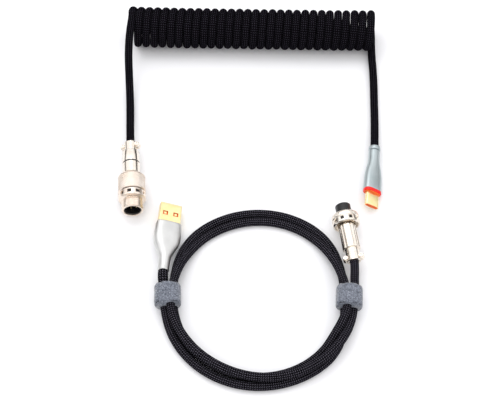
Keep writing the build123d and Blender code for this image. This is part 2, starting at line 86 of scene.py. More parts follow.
class NodeGraph:
    """One material's node tree, built a node at a time."""

    def __init__(self, name: str) -> None:
        """Start a material with its shader and output.

        Args:
            name: The material's name.
        """
        self.material = bpy.data.materials.new(name)
        self.material.use_nodes = True
        self.tree = self.material.node_tree
        self.tree.nodes.clear()
        self.shader = self.add("ShaderNodeBsdfPrincipled")
        self.add("ShaderNodeOutputMaterial", links={"Surface": (self.shader, "BSDF")})

    def add(self, kind: str, settings: dict | None = None, values: dict | None = None,
            links: dict | None = None, stops: tuple[tuple[float, str], ...] = ()) -> bpy.types.Node:
        """Add a node.

        Args:
            kind: The node's type name.
            settings: Properties to set on it.
            values: Input values by socket name or number.
            links: Input links by socket name or number, each a (node, output) pair.
            stops: Place and hex colour of each stop, where the node is a colour ramp.

        Returns:
            The new node.
        """
        node = self.tree.nodes.new(kind)
        for key, value in (settings or {}).items():
            setattr(node, key, value)
        for key, value in (values or {}).items():
            node.inputs[key].default_value = value
        for key, (source, output) in (links or {}).items():
            self.tree.links.new(source.outputs[output], node.inputs[key])
        for extra in range(len(stops) - 2):
            node.color_ramp.elements.new(0.5)
        for k, (place, code) in enumerate(stops):
            node.color_ramp.elements[k].position = place
            node.color_ramp.elements[k].color = linear(code)
        return node

    def shade(self, values: dict | None = None, links: dict | None = None) -> bpy.types.Material:
        """Set the shader's own sockets.

        Args:
            values: Values by socket name.
            links: Links by socket name, each a (node, output) pair.

        Returns:
            The finished material.
        """
        for key, value in (values or {}).items():
            self.shader.inputs[key].default_value = value
        for key, (source, output) in (links or {}).items():
            self.tree.links.new(source.outputs[output], self.shader.inputs[key])
        return self.material


def per_metre(size_mm: float) -> float:
    """Scale of a pattern on coordinates in metres that repeats at a size in millimetres."""
    return 1.0 / (size_mm * MM)


# ------------------------------------------------------------------ finishes
@dataclass(frozen=True)
class NylonBraid:
    """Black nylon yarn, woven in a 1-over-1 braid: matt, with a painted highlight on each yarn's crown
    and painted shade between the yarns.
    """

    name: str = "black_nylon_braid"
    yarns_round: int = 12
    yarn_mm: float = 1.15
    fibre_mm: float = 0.5
    relief_mm: float = 0.28
    # Colours of the painted shade between yarns, the middle and the painted highlight on yarn crowns.
    dark: str = "#010102"
    middle: str = "#060607"
    bright: str = "#3A3740"

    def material(self) -> bpy.types.Material:
        """Build the braid on the cord's own UV map: U once round, V in metres along.

        Returns:
            The material.
        """
        graph = NodeGraph(self.name)
        uv = graph.add("ShaderNodeUVMap", {"uv_map": "cord"})
        parts = graph.add("ShaderNodeSeparateXYZ", links={"Vector": (uv, "UV")})
        around = graph.add("ShaderNodeMath", {"operation": "MULTIPLY"}, {1: float(self.yarns_round)},
                           {0: (parts, "X")})
        along = graph.add("ShaderNodeMath", {"operation": "MULTIPLY"}, {1: per_metre(self.yarn_mm)},
                          {0: (parts, "Y")})
        crowns, floors = [], []
        for operation in ("ADD", "SUBTRACT"):
            way = graph.add("ShaderNodeMath", {"operation": operation}, {},
                            {0: (around, 0), 1: (along, 0)})
            turn = graph.add("ShaderNodeMath", {"operation": "MULTIPLY"}, {1: math.pi}, {0: (way, 0)})
            wave = graph.add("ShaderNodeMath", {"operation": "SINE"}, {}, {0: (turn, 0)})
            crowns.append(graph.add("ShaderNodeMath", {"operation": "ABSOLUTE"}, {}, {0: (wave, 0)}))
            floors.append(graph.add("ShaderNodeMath", {"operation": "FLOOR"}, {}, {0: (way, 0)}))
        cells = graph.add("ShaderNodeMath", {"operation": "ADD"}, {},
                          {0: (floors[0], 0), 1: (floors[1], 0)})
        over = graph.add("ShaderNodeMath", {"operation": "FLOORED_MODULO"}, {1: 2.0}, {0: (cells, 0)})
        height = graph.add("ShaderNodeMix", {"data_type": "FLOAT"}, {},
                           {0: (over, 0), 2: (crowns[0], 0), 3: (crowns[1], 0)})
        fibre = graph.add("ShaderNodeTexNoise", {"noise_dimensions": "3D"},
                          {"Scale": per_metre(self.fibre_mm), "Detail": 2.0, "Roughness": 0.6},
                          {"Vector": (graph.add("ShaderNodeTexCoord"), "Object")})
        lift = graph.add("ShaderNodeMath", {"operation": "MULTIPLY"}, {1: 0.55}, {0: (fibre, "Fac")})
        relief = graph.add("ShaderNodeMath", {"operation": "ADD"}, {}, {0: (height, 0), 1: (lift, 0)})
        level = graph.add("ShaderNodeMapRange", {},
                          {"From Min": 0.3, "From Max": 0.7, "To Min": 0.8, "To Max": 1.1},
                          {"Value": (fibre, "Fac")})
        lean = graph.add("ShaderNodeMath", {"operation": "MULTIPLY"}, {1: 0.3}, {0: (over, 0)})
        one_way = graph.add("ShaderNodeMath", {"operation": "SUBTRACT"}, {0: 1.0}, {1: (lean, 0)})
        crown = graph.add("ShaderNodeMath", {"operation": "MULTIPLY"}, {},
                          {0: (height, 0), 1: (level, "Result")})
        shine = graph.add("ShaderNodeMath", {"operation": "MULTIPLY"}, {},
                          {0: (crown, 0), 1: (one_way, 0)})
        # Colour from the yarn's height: painted highlight on the crowns and painted shade in the valleys
        # between yarns; yarns of one way get less painted highlight, and fibre noise varies it at random.
        colour = graph.add("ShaderNodeValToRGB", links={"Fac": (shine, 0)},
                           stops=((0.45, self.dark), (0.66, self.middle), (0.9, self.bright)))
        bump = graph.add("ShaderNodeBump", {}, {"Strength": 1.0, "Distance": self.relief_mm * MM},
                         {"Height": (relief, 0)})
        return graph.shade({"Roughness": 0.6, "Specular IOR Level": 0.0},
                           {"Base Color": (colour, "Color"), "Normal": (bump, "Normal")})


@dataclass(frozen=True)
class NickelPlate:
    """Bright nickel plate on turned brass: mirror-like, slightly warm, faint turning lines."""

    name: str
    roughness: float = 0.16
    tint: str = "#F4EEE4"
    shade_tint: str = "#EADFD2"

    def material(self) -> bpy.types.Material:
        """Build the plate with handled, uneven gloss and slight warm colour drift.

        Returns:
            The material.
        """
        graph = NodeGraph(self.name)
        place = graph.add("ShaderNodeTexCoord")
        drift = graph.add("ShaderNodeTexNoise", {}, {"Scale": per_metre(6.0), "Detail": 3.0},
                          {"Vector": (place, "Object")})
        fine = graph.add("ShaderNodeTexNoise", {}, {"Scale": per_metre(0.35), "Detail": 2.0},
                         {"Vector": (place, "Object")})
        colour = graph.add("ShaderNodeValToRGB", links={"Fac": (drift, "Fac")},
                           stops=((0.3, self.shade_tint), (0.7, self.tint)))
        gloss = graph.add("ShaderNodeMapRange", {},
                          {"To Min": self.roughness * 0.7, "To Max": self.roughness * 1.5},
                          {"Value": (drift, "Fac")})
        bump = graph.add("ShaderNodeBump", {}, {"Strength": 1.0, "Distance": 0.012 * MM},
                         {"Height": (fine, "Fac")})
        return graph.shade({"Metallic": 1.0},
                           {"Base Color": (colour, "Color"), "Roughness": (gloss, "Result"),
                            "Normal": (bump, "Normal")})


@dataclass(frozen=True)
class GoldPlate:
    """Thin bright gold over nickel: pale yellow, smooth, deeper orange where it curves away."""

    name: str = "bright_gold_plate"
    low: str = "#FFE9A6"
    high: str = "#FFF0BC"

    def material(self) -> bpy.types.Material:
        """Build the plate with light wear in its gloss.

        Returns:
            The material.
        """
        graph = NodeGraph(self.name)
        place = graph.add("ShaderNodeTexCoord")
        wear = graph.add("ShaderNodeTexNoise", {}, {"Scale": per_metre(2.2), "Detail": 4.0},
                         {"Vector": (place, "Object")})
        colour = graph.add("ShaderNodeValToRGB", links={"Fac": (wear, "Fac")},
                           stops=((0.3, self.low), (0.7, self.high)))
        gloss = graph.add("ShaderNodeMapRange", {}, {"To Min": 0.26, "To Max": 0.34},
                          {"Value": (wear, "Fac")})
        bump = graph.add("ShaderNodeBump", {}, {"Strength": 1.0, "Distance": 0.004 * MM},
                         {"Height": (wear, "Fac")})
        return graph.shade({"Metallic": 1.0},
                           {"Base Color": (colour, "Color"), "Roughness": (gloss, "Result"),
                            "Normal": (bump, "Normal")})


@dataclass(frozen=True)
class SatinZinc:
    """Die-cast zinc, bead-blasted and plated: satin silver with a fine even grain."""

    name: str = "satin_zinc_plate"
    low: str = "#CDCDCB"
    high: str = "#DBDBD9"

    def material(self) -> bpy.types.Material:
        """Build the satin metal with its blasted grain.

        Returns:
            The material.
        """
        graph = NodeGraph(self.name)
        place = graph.add("ShaderNodeTexCoord")
        grain = graph.add("ShaderNodeTexNoise", {}, {"Scale": per_metre(0.22), "Detail": 3.0},
                          {"Vector": (place, "Object")})
        drift = graph.add("ShaderNodeTexNoise", {}, {"Scale": per_metre(9.0), "Detail": 2.0},
                          {"Vector": (place, "Object")})
        colour = graph.add("ShaderNodeValToRGB", links={"Fac": (drift, "Fac")},
                           stops=((0.3, self.low), (0.7, self.high)))
        gloss = graph.add("ShaderNodeMapRange", {}, {"To Min": 0.34, "To Max": 0.46},
                          {"Value": (grain, "Fac")})
        bump = graph.add("ShaderNodeBump", {}, {"Strength": 1.0, "Distance": 0.02 * MM},
                         {"Height": (grain, "Fac")})
        return graph.shade({"Metallic": 1.0},
                           {"Base Color": (colour, "Color"), "Roughness": (gloss, "Result"),
                            "Normal": (bump, "Normal")})


@dataclass(frozen=True)
class MouldedPlastic:
    """Injection-moulded plastic with a fine spark-eroded texture from its mould."""

    name: str
    colour: str
    light: str
    roughness: float = 0.45

    def material(self) -> bpy.types.Material:
        """Build the plastic with its mould texture.

        Returns:
            The material.
        """
        graph = NodeGraph(self.name)
        place = graph.add("ShaderNodeTexCoord")
        grain = graph.add("ShaderNodeTexNoise", {}, {"Scale": per_metre(0.3), "Detail": 3.0},
                          {"Vector": (place, "Object")})
        colour = graph.add("ShaderNodeValToRGB", links={"Fac": (grain, "Fac")},
                           stops=((0.3, self.colour), (0.75, self.light)))
        bump = graph.add("ShaderNodeBump", {}, {"Strength": 1.0, "Distance": 0.03 * MM},
                         {"Height": (grain, "Fac")})
        return graph.shade({"Roughness": self.roughness, "IOR": 1.5},
                           {"Base Color": (colour, "Color"), "Normal": (bump, "Normal")})


@dataclass(frozen=True)
class BrushedLoop:
    """Napped nylon loop cloth of a strap: soft grey fuzz, with painted highlight where the loops stand up
    and painted shade in the gaps.
    """

    name: str = "brushed_nylon_loop"
    deep: str = "#4C5058"
    middle: str = "#747984"
    raised: str = "#ACB0BA"

    def material(self) -> bpy.types.Material:
        """Build the fuzz from two sizes of loops.

        Returns:
            The material.
        """
        graph = NodeGraph(self.name)
        place = graph.add("ShaderNodeTexCoord")
        loops = graph.add("ShaderNodeTexNoise", {},
                          {"Scale": per_metre(0.5), "Detail": 5.0, "Roughness": 0.7},
                          {"Vector": (place, "Object")})
        clumps = graph.add("ShaderNodeTexVoronoi", {"feature": "SMOOTH_F1"}, {"Scale": per_metre(0.8)},
                           {"Vector": (place, "Object")})
        gaps = graph.add("ShaderNodeMath", {"operation": "MULTIPLY"}, {1: 0.35},
                         {0: (clumps, "Distance")})
        both = graph.add("ShaderNodeMath", {"operation": "SUBTRACT"}, {},
                         {0: (loops, "Fac"), 1: (gaps, 0)})
        # Colour from the same height as the bump: painted highlight on the raised loops, painted shade in
        # the gaps.
        colour = graph.add("ShaderNodeValToRGB", links={"Fac": (both, 0)},
                           stops=((0.16, self.deep), (0.36, self.middle), (0.58, self.raised)))
        bump = graph.add("ShaderNodeBump", {}, {"Strength": 1.0, "Distance": 0.3 * MM},
                         {"Height": (both, 0)})
        return graph.shade({"Roughness": 0.92, "Sheen Weight": 0.9, "Sheen Roughness": 0.35,
                            "Specular IOR Level": 0.1},
                           {"Base Color": (colour, "Color"), "Normal": (bump, "Normal")})


class Finish(Enum):
    """The finishes on the cable, by what each one is made of."""

    BRAID = NylonBraid()
    # The host cord's braid: the same braid with a brighter painted highlight on the yarn crowns.
    BRAID_HANDLED = NylonBraid("nylon_braid_bright_highlight", bright="#64616C")
    NICKEL = NickelPlate("bright_nickel_plate")
    NICKEL_SATIN = NickelPlate("turned_nickel_plate", 0.27, "#F3E9DE", "#E6D5C4")
    GOLD = GoldPlate()
    ZINC = SatinZinc()
    ZINC_COOL = SatinZinc("cool_satin_zinc_plate", "#AEB9BB", "#BEC7C8")
    BLACK = MouldedPlastic("black_moulded_nylon", "#08080A", "#161619", 0.4)
    RED = MouldedPlastic("red_moulded_abs", "#F00A04", "#FF2010", 0.3)
    ORANGE = MouldedPlastic("orange_moulded_pbt", "#F05A12", "#FF7E2C", 0.36)
    BOARD = MouldedPlastic("green_solder_mask", "#0A3B1E", "#12502B", 0.35)
    LOOP = BrushedLoop()
    # The straps' hook side: near-black, as painted shade inside the band.
    HOOKS = MouldedPlastic("black_hook_nylon_with_painted_shade", "#060607", "#101012", 0.7)

    def dress(self, piece: bpy.types.Object) -> None:
        """Put this finish on a piece as its only material.

        Args:
            piece: The piece to dress.
        """
        found = bpy.data.materials.get(self.value.name)
        material = found or self.value.material()
        piece.data.materials.clear()
        piece.data.materials.append(material)


# ------------------------------------------------------------------ mesh helpers
def new_piece(name: str, mesh: bmesh.types.BMesh, finish: Finish,
              smooth: bool = True) -> bpy.types.Object:
    """Turn a bmesh into a finished object at the origin and free the bmesh.

    Args:
        name: The object's name.
        mesh: Its shape in metres, in the part's frame.
        finish: Its finish.
        smooth: Whether its faces are shaded smooth.

    Returns:
        The new object.
    """
    data = bpy.data.meshes.new(name)
    mesh.to_mesh(data)
    mesh.free()
    for face in data.polygons:
        face.use_smooth = smooth
    piece = bpy.data.objects.new(name, data)
    bpy.context.scene.collection.objects.link(piece)
    finish.dress(piece)
    return piece


def sharpen(piece: bpy.types.Object, degrees: float = 32.0) -> None:
    """Shade smooth except across edges sharper than an angle.

    Args:
        piece: The piece to shade.
        degrees: The angle.
    """
    mesh = bmesh.new()
    mesh.from_mesh(piece.data)
    limit = math.radians(degrees)
    for edge in mesh.edges:
        edge.smooth = len(edge.link_faces) == 2 and edge.calc_face_angle(math.pi) < limit
    for face in mesh.faces:
        face.smooth = True
    mesh.to_mesh(piece.data)
    mesh.free()


def station(rear: tuple, front: tuple, roll: float = 0.0) -> Matrix:
    """Matrix of a connector: local Z from its cord end to its mating end, local Y up, in millimetres.

    Args:
        rear: Layout position of its cord end.
        front: Layout position of its mating end.
        roll: Its turn about its own axis, in degrees.

    Returns:
        The matrix from its own millimetres to metres in the part's frame.
    """
    start = spot(*rear)
    ahead = (spot(*front) - start).normalized()
    side = Vector((0, 0, 1)).cross(ahead).normalized()
    up = ahead.cross(side)
    turn = math.radians(roll)
    width = side * math.cos(turn) + up * math.sin(turn)
    high = ahead.cross(width)
    frame_matrix = Matrix((width, high, ahead)).transposed().to_4x4()
    return Matrix.Translation(start) @ frame_matrix @ Matrix.Scale(MM, 4)


def lathe(outline: Outline, steps: int = 96) -> bmesh.types.BMesh:
    """Spin a closed outline of (distance, radius) pairs about local Z.

    Args:
        outline: Corners of the section, in order.
        steps: Segments round the axis.

    Returns:
        A closed bmesh in millimetres.
    """
    mesh = bmesh.new()
    ring = [mesh.verts.new((radius, 0.0, distance)) for distance, radius in outline]
    edges = [mesh.edges.new((a, b)) for a, b in zip(ring, ring[1:] + ring[:1])]
    bmesh.ops.spin(mesh, geom=ring + edges, cent=(0, 0, 0), axis=(0, 0, 1), angle=math.tau,
                   steps=steps, use_merge=True)
    bmesh.ops.remove_doubles(mesh, verts=mesh.verts, dist=1e-4)
    bmesh.ops.recalc_face_normals(mesh, faces=mesh.faces)
    return mesh


def merge(into: bmesh.types.BMesh, other: bmesh.types.BMesh) -> bmesh.types.BMesh:
    """Add one bmesh to another and free the added one.

    Args:
        into: The bmesh that grows.
        other: The bmesh that is added.

    Returns:
        The grown bmesh.
    """
    data = bpy.data.meshes.new("merged")
    other.to_mesh(data)
    other.free()
    into.from_mesh(data)
    bpy.data.meshes.remove(data)
    return into


def on_circle(radius: float, count: int = 5) -> list[Vector]:
    """Places spread evenly round local Z, the first one at the top."""
    turns = [math.tau * k / count + math.pi / 2 for k in range(count)]
    return [Vector((radius * math.cos(turn), radius * math.sin(turn), 0.0)) for turn in turns]


def rods(outline: Outline, places: list[Vector], steps: int = 28) -> bmesh.types.BMesh:
    """The same turned rod at several places.

    Args:
        outline: Half a rod's section, as for lathe.
        places: Where the rods stand.
        steps: Segments round each rod.

    Returns:
        A bmesh in millimetres.
    """
    mesh = bmesh.new()
    for place in places:
        rod = lathe(outline, steps)
        bmesh.ops.translate(rod, vec=place, verts=rod.verts)
        merge(mesh, rod)
    return mesh


def drilled(radius: float, low: float, high: float, holes: list[Vector],
            hole_r: float) -> bmesh.types.BMesh:
    """A round plug with holes along it and a softened rim.

    Args:
        radius: Its radius.
        low: Where it starts along local Z.
        high: Where it ends.
        holes: The holes' middles.
        hole_r: The holes' radius.

    Returns:
        A closed bmesh in millimetres.
    """
    mesh = bmesh.new()
    bmesh.ops.create_circle(mesh, segments=96, radius=radius, matrix=Matrix.Translation((0, 0, low)))
    for hole in holes:
        bmesh.ops.create_circle(mesh, segments=24, radius=hole_r,
                                matrix=Matrix.Translation(hole + Vector((0, 0, low))))
    bmesh.ops.triangle_fill(mesh, edges=mesh.edges[:], use_beauty=True)
    raised = bmesh.ops.extrude_face_region(mesh, geom=mesh.faces[:])["geom"]
    verts = [item for item in raised if isinstance(item, bmesh.types.BMVert)]
    bmesh.ops.translate(mesh, vec=(0, 0, high - low), verts=verts)
    bmesh.ops.recalc_face_normals(mesh, faces=mesh.faces)
    rim = [edge for edge in mesh.edges
           if all(math.hypot(end.co.x, end.co.y) > radius - 0.01 and end.co.z > high - 0.01
                  for end in edge.verts)]
    bmesh.ops.bevel(mesh, geom=rim, offset=0.25, affect="EDGES", segments=3, profile=0.5, material=-1)
    return mesh


def turned_piece(mesh: bmesh.types.BMesh, place: Matrix, name: str, node: str, finish: Finish,
                 angle: float = 40) -> bpy.types.Object:
    """Finish a bmesh made in a connector's own millimetres and let it stand for a CAD node.

    Args:
        mesh: Its shape.
        place: The connector's matrix.
        name: The piece's name.
        node: The CAD node it stands for.
        finish: Its finish.
        angle: Edges sharper than this many degrees stay sharp.

    Returns:
        The piece.
    """
    mesh.transform(place)
    piece = new_piece(name, mesh, finish)
    sharpen(piece, angle)
    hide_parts(node)
    return piece


def finely(outline: Outline, step: float, first: float, last: float) -> Outline:
    """Add points along an outline's outer runs between two distances, for a pattern to move.

    Args:
        outline: Corners of the section, in order.
        step: About how far apart the points are.
        first: Where the runs may start.
        last: Where they may end.

    Returns:
        The finer outline.
    """
    out = []
    for here, there in zip(outline, outline[1:] + outline[:1]):
        out.append(here)
        run = there[0] - here[0]
        climb = there[1] - here[1]
        inside = here[0] >= first - 1e-6 and there[0] <= last + 1e-6
        if inside and run > 2 * step and here[1] > 0 and abs(climb) < 1.5:
            count = int(run / step)
            for k in range(1, count):
                share = k / count
                out.append((here[0] + run * share, here[1] + climb * share))
    return out


def rounded(outline: Outline, reach: float) -> Outline:
    """Cut each corner of an outline back a little, so that edges catch the light.

    Args:
        outline: Corners of the section, in order.
        reach: How far each corner is cut back along its two sides.

    Returns:
        The outline with two points for each corner.
    """
    out = []
    count = len(outline)
    for k, here in enumerate(outline):
        before, after = outline[k - 1], outline[(k + 1) % count]
        for other in (before, after):
            gap = math.dist(here, other)
            share = min(reach, 0.3 * gap) / gap
            out.append((here[0] + (other[0] - here[0]) * share, here[1] + (other[1] - here[1]) * share))
    return out


def round_slab(width: float, thick: float, corner: float, turn: float) -> tuple[float, float]:
    """Point of a rounded rectangle in the direction of an angle, by a superellipse.

    Args:
        width: Full width.
        thick: Full thickness.
        corner: Corner radius.
        turn: Angle round the section.

    Returns:
        The point's two coordinates.
    """
    squareness = 2.0 + 5.0 * max(0.0, 1.0 - 2 * corner / min(width, thick)) + 0.35 * (width / thick - 1)
    x, y = math.cos(turn), math.sin(turn)
    power = 2.0 / squareness
    return (width / 2 * math.copysign(abs(x) ** power, x), thick / 2 * math.copysign(abs(y) ** power, y))


def slab_body(sections: list[tuple[float, float, float, float]], steps: int = 72) -> bmesh.types.BMesh:
    """A closed body whose section changes along local Z, joined last to first.

    Args:
        sections: (distance, width, thickness, corner) of each ring, outside then inside.
        steps: Points round each ring.

    Returns:
        A closed bmesh in millimetres.
    """
    mesh = bmesh.new()
    rings = []
    for distance, width, thick, corner in sections:
        made = bmesh.ops.create_circle(mesh, segments=steps, radius=1.0)["verts"]
        for vert in made:
            turn = math.atan2(vert.co.y, vert.co.x)
            x, y = round_slab(width, thick, corner, turn)
            vert.co = Vector((x, y, distance))
        rings.append({edge for vert in made for edge in vert.link_edges})
    for first, second in zip(rings, rings[1:] + rings[:1]):
        bmesh.ops.bridge_loops(mesh, edges=list(first | second))
    bmesh.ops.recalc_face_normals(mesh, faces=mesh.faces)
    return mesh


def eased(keys: list[tuple], at: float) -> tuple:
    """Smoothly interpolated row of a table whose first column is the place along it.

    Args:
        keys: The rows, in order of their first column.
        at: The place.

    Returns:
        The other columns at that place.
    """
    if at <= keys[0][0]:
        return keys[0][1:]
    for k in range(len(keys) - 1):
        low, high = keys[k], keys[k + 1]
        if at <= high[0]:
            before, after = keys[max(k - 1, 0)], keys[min(k + 2, len(keys) - 1)]
            t = (at - low[0]) / (high[0] - low[0])
            out = []
            for a, b, c, d in zip(before[1:], low[1:], high[1:], after[1:]):
                lead, tail = (c - a) / 2, (d - b) / 2
                span = t * t * (3 - 2 * t)
                out.append(b + (c - b) * span + lead * t * (1 - t) ** 2 - tail * t * t * (1 - t))
            return tuple(out)
    return keys[-1][1:]


def copy_node(node: str, name: str, finish: Finish, edge_mm: float) -> bpy.types.Object:
    """Copy a CAD node's mesh, merge it, soften its edges and let the copy stand for the node.

    Args:
        node: The CAD node.
        name: The new piece's name.
        finish: Its finish.
        edge_mm: Bevel width, or 0 for none.

    Returns:
        The new piece.
    """
    mesh = bmesh.new()
    mesh.from_mesh(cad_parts[node].data)
    bmesh.ops.remove_doubles(mesh, verts=mesh.verts, dist=2e-6)
    bmesh.ops.dissolve_limit(mesh, angle_limit=math.radians(1.0), verts=mesh.verts, edges=mesh.edges)
    if edge_mm:
        sharp = [edge for edge in mesh.edges
                 if len(edge.link_faces) == 2 and edge.calc_face_angle(0.0) > math.radians(40)]
        bmesh.ops.bevel(mesh, geom=sharp, offset=edge_mm * MM, affect="EDGES", segments=2,
                        profile=0.5, material=-1, clamp_overlap=True)
        bmesh.ops.remove_doubles(mesh, verts=mesh.verts, dist=1e-6)
    bmesh.ops.recalc_face_normals(mesh, faces=mesh.faces)
    piece = new_piece(name, mesh, finish)
    sharpen(piece)
    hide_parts(node)
    return piece


# ------------------------------------------------------------------ cords
@dataclass
class BraidedCord:
    """A round braided cord that follows one smooth line."""

    name: str
    control: list[Vector]
    step_mm: float = 1.0
    sides: int = 16
    samples: int = 10
    finish: Finish = Finish.BRAID
    fat_from: float = 1.0
    fat_to: float = 1.0
    fat_mm: float = 0.1
    line: list[Vector] = field(default_factory=list)

    def follow(self) -> list[Vector]:
        """Read the line back from a NURBS spline with the route as its control points.

        Returns:
            The line's points, evenly spaced.
        """
        curve = bpy.data.curves.new(self.name + "_route", "CURVE")
        curve.dimensions = "3D"
        curve.resolution_u = self.samples
        spline = curve.splines.new("NURBS")
        spline.points.add(len(self.control) - 1)
        for point, place in zip(spline.points, self.control):
            point.co = (*place, 1.0)
        spline.order_u = 3
        spline.use_endpoint_u = True
        guide = bpy.data.objects.new(self.name + "_route", curve)
        bpy.context.scene.collection.objects.link(guide)
        data = bpy.data.meshes.new_from_object(guide)
        dense = [vertex.co.copy() for vertex in data.vertices]
        bpy.data.objects.remove(guide)
        bpy.data.meshes.remove(data)
        self.line = self.even(dense)
        return self.line

    def even(self, dense: list[Vector]) -> list[Vector]:
        """Space a line's points evenly.

        Args:
            dense: The line's own points.

        Returns:
            Points on the same line, one step apart.
        """
        out = [dense[0]]
        gap = self.step_mm * MM
        carried = 0.0
        for here, there in zip(dense, dense[1:]):
            run = (there - here).length
            while run > 0 and carried + run >= gap:
                share = (gap - carried) / run
                here = here.lerp(there, share)
                run = (there - here).length
                out.append(here)
                carried = 0.0
            carried += run
        if carried > 0.3 * gap:
            out.append(dense[-1])
        else:
            out[-1] = dense[-1]
        return out

    def length(self) -> float:
        """Length of the line in metres."""
        return sum((b - a).length for a, b in zip(self.line, self.line[1:]))

    def radius(self, k: int) -> float:
        """Radius at a point of the line: the braid is pushed a little fatter on part of it.

        Args:
            k: The point's place in the line.

        Returns:
            The radius in millimetres.
        """
        along = k / (len(self.line) - 1)
        edge = min(along - self.fat_from, self.fat_to - along) / 0.01
        return CORD_R + self.fat_mm * min(max(edge, 0.0), 1.0)

    def build(self) -> bpy.types.Object:
        """Sweep a round section along the line, with U once round and V in metres along.

        Returns:
            The cord's piece.
        """
        self.follow()
        mesh = bmesh.new()
        layer = mesh.loops.layers.uv.new("cord")
        rings = []
        side = None
        for k, place in enumerate(self.line):
            ahead = (self.line[min(k + 1, len(self.line) - 1)] - self.line[max(k - 1, 0)]).normalized()
            if side is None:
                side = ahead.orthogonal().normalized()
            side = (side - ahead * side.dot(ahead)).normalized()
            up = ahead.cross(side)
            turn = Matrix((side, up, ahead)).transposed().to_4x4()
            made = bmesh.ops.create_circle(mesh, segments=self.sides, radius=self.radius(k) * MM,
                                           matrix=Matrix.Translation(place) @ turn)["verts"]
            rings.append(made)
        along = 0.0
        for k in range(len(rings) - 1):
            run = (self.line[k + 1] - self.line[k]).length
            for s in range(self.sides):
                n = (s + 1) % self.sides
                face = mesh.faces.new((rings[k][s], rings[k][n], rings[k + 1][n], rings[k + 1][s]))
                marks = ((s, along), (s + 1, along), (s + 1, along + run), (s, along + run))
                for loop, (u, v) in zip(face.loops, marks):
                    loop[layer].uv = (u / self.sides, v)
            along += run
        for ring in (rings[0], rings[-1]):
            mesh.faces.new(ring)
        bmesh.ops.recalc_face_normals(mesh, faces=mesh.faces)
        return new_piece(self.name, mesh, self.finish)


SOCKET_REAR, SOCKET_MOUTH = (-68.0, 32.9, 7.7), (-64.2, -11.8, 7.7)
C_TAIL, C_FRONT = (71.2, 32.5, 4.4), (68.0, 2.4, 4.4)
A_TAIL, A_FRONT = (-45.9, -48.9, 7.2), (-44.3, -19.1, 5.8)
PLUG_REAR, PLUG_FRONT = (55.5, -43.3, 7.5), (50.8, -8.55, 7.5)

SOCKET_LEAD = [
    (-70.4, 116.0, 22.4),
    (-71.2, 104.5, 22.3),
    (-71.9, 92.0, 17.3),
    (-71.4, 79.0, 7.4),
    (-70.6, 66.5, 2.7),
    (-69.7, 54.0, 3.9),
    (-68.8, 42.5, 7.2),
    (-68.0, 32.9, 7.7),
]
TYPE_C_LEAD = [
    (72.9, 115.0, 2.35),
    (73.8, 104.0, 2.4),
    (74.0, 86.0, 2.35),
    (73.2, 67.0, 2.35),
    (72.6, 52.0, 2.4),
    (71.8, 41.0, 3.6),
    (71.2, 32.5, 4.4),
]
RING_MIDDLE = (4.55, -61.0)
COIL_LEFT, COIL_RIGHT = (-68.5, 115.9), (71.0, 112.8)
TYPE_A_LEAD = [A_TAIL, (-46.02, -51.2, 7.3), (-45.8, -53.6, 7.0)]
PLUG_LEAD = [PLUG_REAR, (55.6, -47.6, 7.1), (55.2, -52.6, 6.4)]


@dataclass
class Coil:
    """The tight coil of the device cable, wound round a rod along X."""

    turns: float = 29.5
    pitch: float = 4.948
    first_top: float = -71.2
    radius: float = 9.85
    steps: int = 16
    left_y: float = COIL_LEFT[1]
    right_y: float = COIL_RIGHT[1]

    def control(self) -> list[Vector]:
        """Wind the turns, from the top of the left end to the bottom of the right.

        Returns:
            Their control points.
        """
        out = []
        swell = 1.0 / (0.5 + 0.5 * math.cos(math.pi / self.steps))
        total = int(self.turns * self.steps)
        for k in range(1, total):
            turn = math.tau * k / self.steps
            share = k / total
            ends = (2 * share - 1) ** 6
            middle_y = self.left_y + (self.right_y - self.left_y) * share + 0.4 * ends
            loose = 0.12 * math.sin(3.1 * k / self.steps) + 0.08 * math.sin(7.7 * k / self.steps + 1.0)
            radius = (self.radius + 0.6 * loose) * swell
            x = self.first_top + self.pitch * k / self.steps + 0.35 * loose
            z = self.radius + CORD_R + 0.02 + 0.3 * abs(loose) + 0.2 * ends
            out.append(spot(x, middle_y + radius * math.sin(turn), z + radius * math.cos(turn)))
        return out


